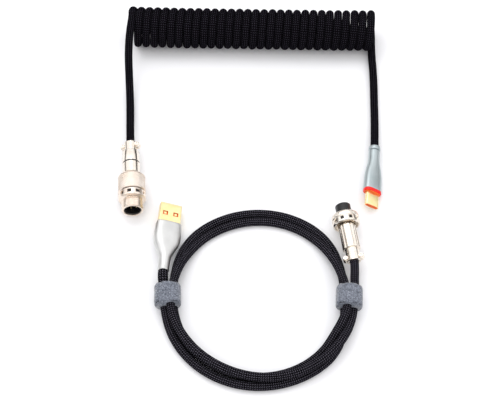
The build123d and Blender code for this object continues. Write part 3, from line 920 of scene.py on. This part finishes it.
@dataclass
class WoundRing:
    """The ring that the host cable is wound into: angle, radius and height along 2.5 turns."""

    step: float = 11.0

    # Where the cord goes: each row is the angle wound so far, its radius and its height
    keys: tuple = (
        (173.5, 50.5, 6.3), (182, 49.9, 4.3), (192, 49.9, 3.6), (206, 50.3, 2.5), (222, 50.5, 2.3),
        (270, 50.9, 2.3), (317, 51.1, 2.3), (326, 50.1, 2.35), (333, 48.6, 2.6), (341, 46.6, 3.1),
        (349, 45.4, 3.7), (356, 45.1, 3.75), (364, 45.2, 3.5), (372, 45.7, 2.8), (380, 46.6, 2.4),
        (390, 48.3, 2.3), (405, 50.0, 2.3), (420, 50.5, 2.3), (450, 50.5, 2.3), (494, 50.4, 2.3),
        (505, 49.4, 2.3), (514, 48.1, 2.35), (522, 46.7, 2.6), (532, 45.5, 3.3), (542, 45.1, 3.75),
        (552, 45.1, 3.6), (566, 45.5, 2.5), (582, 45.7, 2.3), (630, 46.0, 2.3), (677, 45.6, 2.3),
        (686, 45.3, 4.2), (693, 45.6, 6.2), (700, 46.5, 7.6), (709, 47.1, 8.0), (717, 46.6, 8.1),
        (726, 45.5, 7.9), (733, 45.0, 7.4), (740, 44.8, 6.6), (750, 44.9, 5.4), (760, 45.2, 3.6),
        (772, 45.6, 2.35), (800, 45.7, 2.3), (840, 45.6, 2.3), (855, 45.6, 2.35), (865, 45.0, 3.4),
        (874, 44.8, 5.5), (882, 44.7, 6.8), (890, 44.9, 7.8), (898, 45.5, 8.2), (906, 46.4, 8.1),
        (915, 46.7, 7.7), (928, 46.4, 7.2), (942, 46.2, 7.1), (966, 46.3, 7.05), (990, 47.4, 6.5),
        (1010, 48.7, 6.5), (1030, 50.0, 7.0), (1040, 50.3, 6.9), (1048, 50.6, 6.5), (1056, 50.6, 5.6),
        (1064, 50.4, 4.5), (1076, 50.0, 4.2), (1084, 50.5, 5.2),
    )

    def control(self) -> list[Vector]:
        """Wind the turns, evenly spaced in angle.

        Returns:
            Their control points.
        """
        first, last = self.keys[0][0], self.keys[-1][0]
        count = round((last - first) / self.step)
        swell = 1.0 / (0.5 + 0.5 * math.cos(math.radians(self.step) / 2))
        middle_x, middle_y = RING_MIDDLE
        out = []
        for k in range(count + 1):
            angle = first + (last - first) * k / count
            radius, height = eased(list(self.keys), angle)
            radius = radius * swell + 0.15 * math.sin(angle / 17.0)
            turn = math.radians(angle)
            x = middle_x + radius * math.cos(turn)
            y = middle_y + radius * math.sin(turn)
            out.append(spot(x, y, height))
        return out


# ------------------------------------------------------------------ studio
@dataclass
class Studio:
    """A pale table, soft lights and the camera."""

    height: float = 508.8
    back: float = 318.0
    lens: float = 77.3
    sky_power: float = 1.34

    def camera(self) -> None:
        """Place the camera over the viewer's side, looking down at the layout's middle."""
        data = bpy.data.cameras.new("camera")
        data.lens = self.lens
        data.sensor_width = 36.0
        data.clip_start = 0.01
        camera = bpy.data.objects.new("camera", data)
        bpy.context.scene.collection.objects.link(camera)
        aim = spot(0, 0)
        camera.location = aim + Vector((0, -self.back, self.height)) * MM
        camera.rotation_euler = (aim - camera.location).to_track_quat("-Z", "Y").to_euler()
        bpy.context.scene.camera = camera

    def area(self, name: str, place: tuple, size: tuple, power: float, tint: str) -> None:
        """Add one soft light that points at the middle of the layout.

        Args:
            name: Its name.
            place: Where it stands, in metres.
            size: Its width and height, in metres.
            power: Its power in watts.
            tint: Its colour.
        """
        data = bpy.data.lights.new(name, "AREA")
        data.shape = "RECTANGLE"
        data.size, data.size_y = size
        data.energy = power
        data.color = linear(tint)[:3]
        light = bpy.data.objects.new(name, data)
        light.location = place
        light.rotation_euler = (-Vector(place)).to_track_quat("-Z", "Y").to_euler()
        bpy.context.scene.collection.objects.link(light)

    def sky(self, tree: bpy.types.NodeTree) -> None:
        """Light from all round: a bright ceiling that darkens towards the walls, for metal to show.

        Args:
            tree: The world's node tree.
        """
        place = tree.nodes.new("ShaderNodeTexCoord")
        parts = tree.nodes.new("ShaderNodeSeparateXYZ")
        fade = tree.nodes.new("ShaderNodeValToRGB")
        stops = ((0.0, "#2E2A28"), (0.22, "#6E6A68"), (0.36, "#F4F4F6"))
        fade.color_ramp.elements.new(0.5)
        for element, (height, code) in zip(fade.color_ramp.elements, stops):
            element.position = height
            element.color = linear(code)
        tree.links.new(place.outputs["Generated"], parts.inputs[0])
        tree.links.new(parts.outputs["Z"], fade.inputs["Fac"])
        tree.links.new(fade.outputs["Color"], tree.nodes["Background"].inputs["Color"])
        tree.nodes["Background"].inputs["Strength"].default_value = self.sky_power

    def build(self) -> None:
        """Make the table, the sky and the lights."""
        mesh = bmesh.new()
        bmesh.ops.create_grid(mesh, x_segments=1, y_segments=1, size=3.0)
        table = new_piece("table", mesh, Finish.BLACK, smooth=False)
        graph = NodeGraph("white_table")
        table.data.materials[0] = graph.shade({"Base Color": linear("#FBFBFC"), "Roughness": 0.9,
                                               "Specular IOR Level": 0.1})
        world = bpy.data.worlds.new("studio")
        bpy.context.scene.world = world
        world.use_nodes = True
        self.sky(world.node_tree)
        self.area("key", (-0.15, 0.35, 0.9), (0.7, 0.4), 1.6, "#FFFFFF")
        self.area("fill", (0.7, -0.5, 0.7), (0.5, 0.5), 0.4, "#FFF3E6")
        self.area("side", (-0.8, -0.1, 0.45), (0.3, 0.6), 0.3, "#FFFFFF")
        bpy.context.scene.view_settings.view_transform = "Standard"


# ------------------------------------------------------------------ connectors
@dataclass
class SaddleClamp:
    """The cord clamp of a round connector: an arch round the cord, two bosses and their screws."""

    place: Matrix
    length: float = 4.4
    arch_r: float = 3.7
    cord_r: float = 2.45
    boss_x: float = 4.15
    boss_r: float = 1.6
    boss_t: float = 1.5
    gap: float = 0.3

    def half(self, upper: bool) -> bmesh.types.BMesh:
        """Half the arch, with its two bosses.

        Args:
            upper: Whether it is the half above the cord.

        Returns:
            Its shape in the connector's own millimetres.
        """
        outline = rounded([(0.0, self.cord_r), (0.0, self.arch_r), (self.length, self.arch_r),
                           (self.length, self.cord_r)], 0.15)
        mesh = bmesh.new()
        lean = math.asin(self.gap / 2 / self.arch_r)
        start = lean if upper else math.pi + lean
        ring = [mesh.verts.new((radius * math.cos(start), radius * math.sin(start), distance))
                for distance, radius in outline]
        edges = [mesh.edges.new((a, b)) for a, b in zip(ring, ring[1:] + ring[:1])]
        bmesh.ops.spin(mesh, geom=ring + edges, cent=(0, 0, 0), axis=(0, 0, 1),
                       angle=math.pi - 2 * lean, steps=48)
        bmesh.ops.holes_fill(mesh, edges=[edge for edge in mesh.edges if edge.is_boundary])
        bmesh.ops.recalc_face_normals(mesh, faces=mesh.faces)
        face = 1 if upper else -1
        disc = rounded([(0.0, 0.0), (0.0, self.boss_r), (self.boss_t, self.boss_r),
                        (self.boss_t, 0.0)], 0.2)
        for side in (-1, 1):
            boss = lathe(disc, 40)
            boss.transform(Matrix.Rotation(-face * math.pi / 2, 4, "X"))
            spot_mm = (side * self.boss_x, face * self.gap / 2, self.length / 2)
            bmesh.ops.translate(boss, vec=spot_mm, verts=boss.verts)
            merge(mesh, boss)
        return mesh

    def screws(self) -> bmesh.types.BMesh:
        """Two cap screws with a round recess in the head.

        Returns:
            Their shape in the connector's own millimetres.
        """
        top = self.gap / 2 + self.boss_t
        outline = rounded([
            (-top, 0.0), (-top, 0.7), (top, 0.7), (top, 1.3), (top + 0.7, 1.3), (top + 0.8, 1.1),
            (top + 0.8, 0.6), (top + 0.25, 0.5), (top + 0.25, 0.0),
        ], 0.1)
        mesh = bmesh.new()
        for side in (-1, 1):
            screw = lathe(outline, 32)
            screw.transform(Matrix.Rotation(-math.pi / 2, 4, "X"))
            bmesh.ops.translate(screw, vec=(side * self.boss_x, 0, self.length / 2), verts=screw.verts)
            merge(mesh, screw)
        return mesh


RIM_R = 7.5
RIM_HOLES = 10


def dimple(distance: float, turn: float, middle: float, count: int, reach: float, depth: float) -> float:
    """How deep a rim is cut at a place by a row of wrench holes round it.

    Args:
        distance: The place's distance along the connector.
        turn: Its angle round the connector.
        middle: Distance of the row of holes.
        count: How many holes there are.
        reach: A hole's half width.
        depth: Its depth.

    Returns:
        The depth in millimetres, or 0 beside the holes.
    """
    around = (turn * count / math.tau + 0.25) % 1.0 - 0.5
    across = abs(around) * math.tau * RIM_R / count
    return depth if across < reach and abs(distance - middle) < 0.9 * reach else 0.0


def in_zone(zone: tuple[float, float, float], distance: float, radius: float) -> bool:
    """Whether a place lies in a zone, given as (from, to, least radius)."""
    return zone[0] < distance < zone[1] and radius > zone[2]


def displaced(mesh: bmesh.types.BMesh,
              cut_at: Callable[[float, float, float], float]) -> bmesh.types.BMesh:
    """Move a turned mesh's vertices towards its axis by a pattern.

    Args:
        mesh: The turned mesh, in millimetres.
        cut_at: Gives the cut for a (distance, radius, turn).

    Returns:
        The same mesh.
    """
    for vert in mesh.verts:
        radius = math.hypot(vert.co.x, vert.co.y)
        if radius < 1e-6:
            continue
        cut = cut_at(vert.co.z, radius, math.atan2(vert.co.y, vert.co.x))
        vert.co.x *= (radius - cut) / radius
        vert.co.y *= (radius - cut) / radius
    return mesh


@dataclass
class AviatorSocket:
    """The threaded connector of the device cable."""

    place: Matrix = field(default_factory=lambda: station(SOCKET_REAR, SOCKET_MOUTH, 16.0))
    grip_r: float = 7.6
    thread_r: float = 6.0
    thread_pitch: float = 1.0
    thread_depth: float = 0.36
    knurl_teeth: int = 40
    knurl_depth: float = 0.34
    holes_at: float = 36.0
    hole_reach: float = 1.0
    hole_depth: float = 1.1

    # Where the shell is patterned: from, to and the least radius
    knurl_zone: tuple = (24.0, 33.1, 7.4)
    holes_zone: tuple = (34.4, 37.6, 7.3)
    thread_zone: tuple = (39.6, 44.2, 5.7)

    # Black rings of painted shade: inside the mouth, in the seam, in the groove and at the bottom of the
    # wrench holes.
    # Each row is where it starts and ends along the socket, then its inner and outer radius.
    painted_shade_rings: tuple = ((34.7, 44.0, 4.35, 4.78), (13.7, 14.3, 4.3, 4.72), (33.6, 34.05, 6.5, 7.1),
                          (35.0, 37.0, 6.3, 6.7))

    def cut(self, distance: float, radius: float, turn: float) -> float:
        """Depth of the knurl, the wrench holes and the thread at a place of the shell.

        Args:
            distance: The place's distance along the connector.
            radius: Its distance from the axis.
            turn: Its angle round the axis.

        Returns:
            The depth in millimetres.
        """
        if in_zone(self.knurl_zone, distance, radius):
            slope = distance / (2 * math.pi * self.grip_r / self.knurl_teeth)
            teeth = self.knurl_teeth * turn / math.tau
            both = [abs((teeth + way * slope) % 1.0 - 0.5) * 2 for way in (1, -1)]
            return self.knurl_depth * (1 - min(both))
        if in_zone(self.holes_zone, distance, radius):
            return dimple(distance, turn, self.holes_at, RIM_HOLES, self.hole_reach, self.hole_depth)
        if in_zone(self.thread_zone, distance, radius):
            phase = (distance / self.thread_pitch + turn / math.tau) % 1.0
            return self.thread_depth * abs(phase - 0.5) * 2
        return 0.0

    def shell(self) -> bpy.types.Object:
        """Knurled grip, polished rim with wrench holes and threaded nose, open at the front.

        Returns:
            The piece.
        """
        outline = rounded([
            (21.0, 3.9), (21.0, 4.9), (23.6, self.grip_r), (33.3, self.grip_r), (33.5, 6.8),
            (34.1, 6.8), (34.2, 7.55), (37.7, 7.55), (38.3, 7.0), (38.3, 6.5), (39.0, 5.5),
            (39.4, self.thread_r), (44.4, self.thread_r), (44.8, 5.5), (44.8, 4.8), (29.5, 4.8),
            (29.5, 3.9),
        ], 0.12)
        grip = finely(finely(outline, 0.2, 23.4, 37.8), 0.14, 39.3, 44.5)
        mesh = displaced(lathe(grip, 240), self.cut)
        return turned_piece(mesh, self.place, "socket_shell_turned", "socket_shell", Finish.NICKEL_SATIN)

    def sleeves(self) -> list[bpy.types.Object]:
        """Two smooth sleeves behind the grip, with a deep seam between them.

        Returns:
            Both pieces.
        """
        rear = lathe(rounded([(14.0, 3.9), (14.0, 4.0), (14.25, 4.0), (14.35, 4.85), (20.9, 4.85),
                              (20.9, 3.9)], 0.12))
        tail = lathe(rounded([
            (4.4, 2.45), (4.4, 3.7), (6.2, 3.7), (6.2, 4.5), (6.5, 4.85), (13.55, 4.85), (13.65, 4.0),
            (14.0, 4.0), (14.0, 3.9), (7.4, 3.9), (7.4, 2.45),
        ], 0.12))
        merge(tail, SaddleClamp(self.place).half(False))
        return [
            turned_piece(rear, self.place, "socket_rear_sleeve_turned", "socket_rear_sleeve",
                         Finish.NICKEL),
            turned_piece(tail, self.place, "socket_tail_sleeve_turned", "socket_tail_sleeve",
                         Finish.NICKEL),
        ]

    def build(self) -> list[bpy.types.Object]:
        """Build every piece of the socket.

        Returns:
            The pieces.
        """
        clamp = SaddleClamp(self.place)
        pins = rods([(27.5, 0.0), (27.5, 0.5), (41.2, 0.5), (41.7, 0.35), (41.8, 0.0)],
                    on_circle(PIN_CIRCLE_R))
        insulator = drilled(4.78, 29.5, 34.8, on_circle(PIN_CIRCLE_R), 0.52)
        # These black rings join the insulator piece as painted shade.
        for first, last, inner, outer in self.painted_shade_rings:
            merge(insulator, lathe([(first, inner), (first, outer), (last, outer), (last, inner)]))
        return [
            self.shell(),
            *self.sleeves(),
            turned_piece(clamp.half(True), self.place, "socket_saddle", "socket_clamp_saddle",
                         Finish.NICKEL),
            turned_piece(clamp.screws(), self.place, "socket_screws", "socket_clamp_screws",
                         Finish.NICKEL),
            turned_piece(insulator, self.place, "socket_insulator_moulded", "socket_insulator",
                         Finish.BLACK),
            turned_piece(pins, self.place, "socket_pins_turned", "socket_pins", Finish.GOLD),
        ]


@dataclass
class AviatorPlug:
    """The connector of the host cable, with its loose coupling nut."""

    place: Matrix = field(default_factory=lambda: station(PLUG_REAR, PLUG_FRONT, -12.0))
    flutes: int = 12
    flute_depth: float = 0.24
    nut_bore_r: float = 6.1
    knurl_teeth: int = 56
    knurl_depth: float = 0.12
    holes_at: float = 24.0
    hole_reach: float = 0.95
    hole_depth: float = 0.9

    # Where the barrel and the nut are patterned: from, to and the least radius
    flutes_zone: tuple = (7.1, 22.5, 4.3)
    holes_zone: tuple = (22.0, 25.3, 7.2)
    knurl_zone: tuple = (26.1, 29.0, 7.2)

    def nut_cut(self, distance: float, radius: float, turn: float) -> float:
        """Depth of the wrench holes behind and of the knurl in front, on the nut.

        Args:
            distance: The place's distance along the connector.
            radius: Its distance from the axis.
            turn: Its angle round the axis.

        Returns:
            The depth in millimetres.
        """
        if in_zone(self.holes_zone, distance, radius):
            return dimple(distance, turn, self.holes_at, RIM_HOLES, self.hole_reach, self.hole_depth)
        if in_zone(self.knurl_zone, distance, radius):
            return self.knurl_depth * (0.5 - 0.5 * math.cos(self.knurl_teeth * turn))
        return 0.0

    def nut(self) -> bpy.types.Object:
        """Coupling nut: polished rear band, knurled front, threaded bore, deep recess behind.

        Returns:
            The piece.
        """
        bore = self.nut_bore_r
        outline = rounded([
            (22.0, bore + 0.2), (22.0, 6.8), (22.6, 7.4), (25.3, 7.4), (25.5, 7.05), (25.8, 7.05),
            (26.0, 7.4), (27.6, 7.4), (28.4, 7.1), (28.9, 6.6), (28.9, bore), (24.6, bore), (24.6, 5.1),
            (23.6, 5.1), (23.6, bore + 0.2),
        ], 0.12)
        mesh = displaced(lathe(finely(outline, 0.2, 22.5, 27.7), 240), self.nut_cut)
        return turned_piece(mesh, self.place, "coupling_nut_turned", "plug_coupling_nut", Finish.NICKEL)

    def painted_hole_shade(self) -> bpy.types.Object:
        """A black ring under the nut's wrench holes, painted shade at their bottoms.

        Returns:
            The piece.
        """
        mesh = lathe([(23.0, 6.35), (23.0, 6.72), (25.0, 6.72), (25.0, 6.35)])
        mesh.transform(self.place)
        return new_piece("nut_painted_hole_shade", mesh, Finish.BLACK)

    def flute_cut(self, distance: float, radius: float, turn: float) -> float:
        """Depth of the flutes along the barrel, which run out over its rear edge.

        Args:
            distance: The place's distance along the connector.
            radius: Its distance from the axis.
            turn: Its angle round the axis.

        Returns:
            The depth in millimetres.
        """
        if not in_zone(self.flutes_zone, distance, radius):
            return 0.0
        wave = 0.5 + 0.5 * math.cos(self.flutes * turn)
        return self.flute_depth * wave ** 1.4 * min(1.0, (self.flutes_zone[1] - distance) / 0.8)

    def barrel(self) -> bpy.types.Object:
        """Fluted barrel with its front flange and the lower half of the clamp.

        Returns:
            The piece.
        """
        outline = rounded([
            (4.4, 2.45), (4.4, 3.7), (7.2, 3.7), (7.2, 4.6), (7.5, 4.9), (22.6, 4.9), (28.0, 4.75),
            (28.0, 5.7), (28.6, 5.7), (28.6, 4.25), (25.5, 4.25), (25.5, 3.9), (8.4, 3.9), (8.4, 2.45),
        ], 0.12)
        mesh = displaced(lathe(finely(outline, 0.5, 7.0, 22.7), 224), self.flute_cut)
        merge(mesh, SaddleClamp(self.place).half(False))
        return turned_piece(mesh, self.place, "plug_barrel_fluted", "plug_barrel", Finish.NICKEL)

    def build(self) -> list[bpy.types.Object]:
        """Build every piece of the plug.

        Returns:
            The pieces.
        """
        clamp = SaddleClamp(self.place)
        tubes = rods([(28.4, 0.55), (28.4, 0.78), (34.4, 0.78), (34.4, 0.55)], on_circle(PIN_CIRCLE_R))
        insert = drilled(4.22, 25.5, 35.0, on_circle(PIN_CIRCLE_R), 0.8)
        circlip = lathe(rounded([(24.7, 4.88), (24.7, 5.88), (25.2, 5.88), (25.2, 4.88)], 0.08))
        return [
            self.nut(),
            self.painted_hole_shade(),
            self.barrel(),
            turned_piece(clamp.half(True), self.place, "plug_saddle", "plug_clamp_saddle", Finish.NICKEL),
            turned_piece(clamp.screws(), self.place, "plug_screws", "plug_clamp_screws", Finish.NICKEL),
            turned_piece(insert, self.place, "plug_insert_moulded", "plug_insert", Finish.BLACK),
            turned_piece(tubes, self.place, "plug_contact_tubes", "plug_sockets", Finish.GOLD),
            turned_piece(circlip, self.place, "plug_retaining_ring", "plug_snap_ring", Finish.NICKEL),
        ]


@dataclass
class CastHousing:
    """A bottle-shaped die-cast plug housing, made from its sections."""

    name: str
    node: str
    place: Matrix
    keys: list[tuple[float, float, float, float]]
    mouth: tuple[float, float, float]
    bore: float
    finish: Finish = Finish.ZINC
    rings: int = 34

    def build(self) -> bpy.types.Object:
        """Ease between the sections, roll over the front edge and line the mouth.

        Returns:
            The piece.
        """
        first, last = self.keys[0][0], self.keys[-1][0]
        sections = []
        width, thick, corner = self.keys[0][1:]
        for inset, back in ((0.45, 0.0), (0.15, 0.12)):
            sections.append((first + back, width - 2 * inset, thick - 2 * inset,
                             max(corner - inset, 0.3)))
        for k in range(1, self.rings):
            at = first + 0.4 + (last - first - 0.9) * (k - 1) / (self.rings - 2)
            sections.append((at, *eased(self.keys, at)))
        width, thick, corner = self.keys[-1][1:]
        for inset, back in ((0.12, 0.2), (0.4, 0.03), (0.75, 0.0)):
            sections.append((last - back, width - 2 * inset, thick - 2 * inset,
                             max(corner - inset, 0.3)))
        mouth_w, mouth_t, mouth_corner = self.mouth
        for depth in (0.0, 0.15, 3.0):
            grow = 0.3 if depth == 0.0 else 0.04
            sections.append((last - depth, mouth_w + grow, mouth_t + grow, mouth_corner))
        sections.append((last - 3.2, 2 * self.bore, 2 * self.bore, self.bore))
        sections.append((first, 2 * self.bore, 2 * self.bore, self.bore))
        mesh = slab_body(sections)
        mesh.transform(self.place)
        piece = new_piece(self.name, mesh, self.finish)
        sharpen(piece, 45)
        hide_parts(self.node)
        return piece


def slab(width: float, thick: float, long: float,
         middle: tuple[float, float, float]) -> bmesh.types.BMesh:
    """A plain block in a connector's own millimetres.

    Args:
        width: Its size along local X.
        thick: Its size along local Y.
        long: Its size along local Z.
        middle: Its middle.

    Returns:
        A closed bmesh.
    """
    mesh = bmesh.new()
    bmesh.ops.create_cube(mesh, size=1.0)
    mesh.transform(Matrix.Translation(middle) @ Matrix.Diagonal((width, thick, long, 1.0)))
    return mesh


def add_slabs(piece: bpy.types.Object, place: Matrix,
              slabs: list[bmesh.types.BMesh]) -> bpy.types.Object:
    """Add blocks to a finished piece.

    Args:
        piece: The piece.
        place: The connector's matrix.
        slabs: The blocks, in the connector's own millimetres.

    Returns:
        The same piece.
    """
    mesh = bmesh.new()
    mesh.from_mesh(piece.data)
    for block in slabs:
        block.transform(place)
        merge(mesh, block)
    mesh.to_mesh(piece.data)
    mesh.free()
    return piece


@dataclass
class TypeAPlug:
    """The rectangular plug of the host cable."""

    place: Matrix = field(default_factory=lambda: station(A_TAIL, A_FRONT, 19.0))
    window_x: float = 2.9
    window_at: float = 35.4

    def build(self) -> list[bpy.types.Object]:
        """Build every piece of the plug.

        Returns:
            The pieces.
        """
        housing = CastHousing("type_a_housing_cast", "type_a_housing", self.place, [
            (0.0, 6.0, 6.0, 2.95), (8.5, 6.7, 6.3, 3.05), (13.0, 10.0, 7.0, 3.2),
            (16.8, 13.4, 7.7, 3.2), (21.5, 14.8, 8.0, 3.1), (29.8, 14.0, 7.8, 2.7),
        ], (12.0, 4.5, 0.5), 1.9)
        shell = copy_node("type_a_shell", "type_a_shell_folded", Finish.GOLD, 0.08)
        springs = [slab(1.3, 0.2, 1.3, (side * self.window_x, 1.65, self.window_at + 0.2))
                   for side in (-1, 1)]
        add_slabs(shell, self.place, springs)
        tongue = copy_node("type_a_tongue", "type_a_tongue_moulded", Finish.ORANGE, 0.08)
        rest = slab(10.6, 0.25, 3.6, (0.0, 1.3, self.window_at))
        add_slabs(tongue, self.place, [rest])
        return [
            housing.build(),
            shell,
            tongue,
            copy_node("type_a_contacts", "type_a_contact_strips", Finish.GOLD, 0.03),
        ]


@dataclass
class TypeCPlug:
    """The small oval plug of the device cable."""

    place: Matrix = field(default_factory=lambda: station(C_TAIL, C_FRONT, -31.0))

    def build(self) -> list[bpy.types.Object]:
        """Build every piece of the plug.

        Returns:
            The pieces.
        """
        housing = CastHousing("type_c_housing_cast", "type_c_housing", self.place, [
            (2.5, 6.5, 6.0, 2.98), (7.4, 6.5, 6.0, 2.95), (11.5, 7.2, 6.0, 2.9), (15.6, 9.1, 6.0, 2.85),
            (20.6, 10.4, 6.1, 2.8), (29.5, 10.8, 6.1, 2.8),
        ], (8.4, 2.6, 1.2), 1.6, Finish.ZINC_COOL)
        collar = lathe(rounded([
            (0.0, 2.3), (0.0, 3.1), (0.25, 3.35), (2.2, 3.35), (2.45, 3.1), (2.45, 2.3),
        ], 0.12))
        faces = [
            slab_body([(30.6, 9.9, 5.2, 2.4), (31.35, 9.9, 5.2, 2.4), (31.45, 9.6, 4.9, 2.3),
                       (31.45, 8.4, 2.62, 1.2), (30.6, 8.4, 2.62, 1.2)]),
            slab_body([(39.3, 8.0, 2.25, 1.1), (39.68, 8.0, 2.25, 1.1), (39.72, 7.8, 2.1, 1.0),
                       (39.72, 6.4, 0.55, 0.2), (39.3, 6.4, 0.55, 0.2)]),
        ]
        return [
            housing.build(),
            turned_piece(collar, self.place, "type_c_collar_turned", "type_c_collar", Finish.ZINC_COOL),
            copy_node("type_c_band", "type_c_band_moulded", Finish.RED, 0.1),
            copy_node("type_c_shell", "type_c_shell_drawn", Finish.GOLD, 0.04),
            add_slabs(copy_node("type_c_insert", "type_c_insert_moulded", Finish.ORANGE, 0.06),
                      self.place, faces),
            copy_node("type_c_contacts", "type_c_contact_strips", Finish.GOLD, 0.0),
        ]


# ------------------------------------------------------------------ straps
@dataclass
class LoopStrap:
    """A hook-and-loop strap, wrapped once round the wound cords: soft loops outside, hooks inside."""

    name: str
    node: str
    angle: float
    middle_r: float
    seed: float
    width: float = 11.2
    thick: float = 0.8
    span: float = 14.4
    rise: float = 13.0
    corner: float = 5.7
    edge_pull: float = 0.55
    outer_cells: int = 22
    inner_cells: int = 7

    def frame(self) -> Matrix:
        """Turn the strap: local X outwards across it, local Y up, local Z along the cords.

        Returns:
            The matrix from its own millimetres to metres in the part's frame.
        """
        turn = math.radians(self.angle)
        outwards = Vector((math.cos(turn), math.sin(turn), 0))
        along = outwards.cross(Vector((0, 0, 1)))
        middle = spot(*RING_MIDDLE) + outwards * self.middle_r * MM
        turned = Matrix((outwards, Vector((0, 0, 1)), along)).transposed().to_4x4()
        return Matrix.Translation(middle) @ turned @ Matrix.Scale(MM, 4)

    def hook_side_with_shade(self) -> bpy.types.Object:
        """The dark hook side that lines the band, made near-black as painted shade inside the band.

        Returns:
            The piece.
        """
        reach = self.width / 2 - 0.12
        outer_w, outer_h = self.span - 2 * self.thick + 0.1, self.rise - 2 * self.thick + 0.1
        outer = (outer_w, outer_h, 5.2)
        inner = (outer_w - 1.0, outer_h - 1.0, 4.7)
        mesh = slab_body([(-reach, *outer), (reach, *outer), (reach, *inner), (-reach, *inner)], 120)
        bmesh.ops.translate(mesh, vec=(0, self.rise / 2, 0), verts=mesh.verts)
        mesh.transform(self.frame())
        return new_piece(self.name + "_hooks", mesh, Finish.HOOKS)

    def build(self) -> bpy.types.Object:
        """Shape a thick soft band, then roughen it with the nap of its loops.

        Returns:
            The piece.
        """
        half = self.width / 2
        inner_w, inner_h = self.span - 2 * self.thick, self.rise - 2 * self.thick
        sections = []
        for k in range(self.outer_cells + 1):
            at = -half + self.width * k / self.outer_cells
            pull = self.edge_pull * abs(2 * k / self.outer_cells - 1) ** 10
            sections.append((at, self.span - 2 * pull, self.rise - 2 * pull, self.corner))
        for k in range(self.inner_cells + 1):
            at = half - self.width * k / self.inner_cells
            sections.append((at, inner_w, inner_h, self.corner - self.thick))
        mesh = slab_body(sections, 120)
        for vert in mesh.verts:
            vert.co.y += self.rise / 2
            outside = math.hypot(vert.co.x / inner_w, (vert.co.y - self.rise / 2) / inner_h) > 0.53
            if outside:
                # A short nap of two sizes, and a slow wave that only goes inwards
                place = vert.co * 1.4 + Vector((self.seed, 0, 0))
                nap = noise.noise(place) * 0.2 + noise.noise(place * 2.7) * 0.14
                wave = noise.noise(place * 0.14) * 0.35
                push = nap + min(wave, 0.0) - 0.2
                away = Vector((vert.co.x, vert.co.y - self.rise / 2, 0))
                vert.co += away.normalized() * push
                vert.co.z += 0.35 * noise.noise(place * 0.5 + Vector((3, 7, 1)))
                vert.co.y = max(vert.co.y, 0.02)
        bmesh.ops.recalc_face_normals(mesh, faces=mesh.faces)
        mesh.transform(self.frame())
        piece = new_piece(self.name, mesh, Finish.LOOP)
        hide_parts(self.node)
        return piece


# ------------------------------------------------------------------ assembly
HOST_BODY = "host_cable"
COIL_BODY = "coiled_cable"
C_BODY = "type_c_end"
# The pieces of the aviator plug that don't ride on the host cable
LOOSE = {"coupling_nut_turned": "coupling_nut", "nut_painted_hole_shade": "coupling_nut",
         "plug_retaining_ring": "snap_ring"}


def mount(piece: bpy.types.Object, body: str) -> bpy.types.Object:
    """Let a piece ride on a body.

    Args:
        piece: The piece.
        body: The body's name.

    Returns:
        The same piece.
    """
    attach(piece, body)
    LOG.info("%s rides on %s", piece.name, body)
    return piece


def main() -> None:
    """Build the studio, the cords and then every connector and strap."""
    studio = Studio()
    studio.camera()
    studio.build()

    lead_in = [spot(*place) for place in reversed(SOCKET_LEAD)]
    lead_out = [spot(*place) for place in TYPE_C_LEAD]
    device = BraidedCord("device_cord", lead_in + Coil().control() + lead_out[1:], sides=20,
                         fat_from=0.045, fat_to=0.955)
    device_cord = device.build()
    host_control = [spot(*place) for place in TYPE_A_LEAD] + WoundRing().control()
    host_control += [spot(*place) for place in reversed(PLUG_LEAD)]
    host = BraidedCord("host_cord", host_control, 0.8, 20, finish=Finish.BRAID_HANDLED,
                       fat_from=-1.0, fat_to=0.016, fat_mm=0.45)
    host_cord = host.build()
    LOG.info("device cord %.3f m, host cord %.3f m", device.length(), host.length())

    socket_pieces = [mount(piece, COIL_BODY) for piece in AviatorSocket().build()]
    type_c_pieces = [mount(piece, C_BODY) for piece in TypeCPlug().build()]
    plug_pieces = AviatorPlug().build()
    for piece in plug_pieces:
        mount(piece, LOOSE.get(piece.name, HOST_BODY))
    type_a_pieces = [mount(piece, HOST_BODY) for piece in TypeAPlug().build()]
    straps = [
        LoopStrap("strap_left_loop", "strap_left", 182.4, 47.6, 11.0),
        LoopStrap("strap_right_loop", "strap_right", 356.3, 47.4, 37.0),
    ]
    for strap in straps:
        mount(strap.build(), HOST_BODY)
        mount(strap.hook_side_with_shade(), HOST_BODY)
    for node in ("type_a_board", "type_c_board"):
        Finish.BOARD.dress(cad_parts[node])

    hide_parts("coil", "coil_lead_socket", "coil_lead_type_c")
    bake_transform(device_cord)
    round(device.length(), 3)
    mount(host_cord, HOST_BODY)
    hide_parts("host_cord_ring", "host_lead_type_a", "host_lead_plug")
    round(host.length(), 3)
    LOG.info("%d connector pieces", len(socket_pieces + type_c_pieces + plug_pieces + type_a_pieces))


if __name__ == "__main__":
    main()
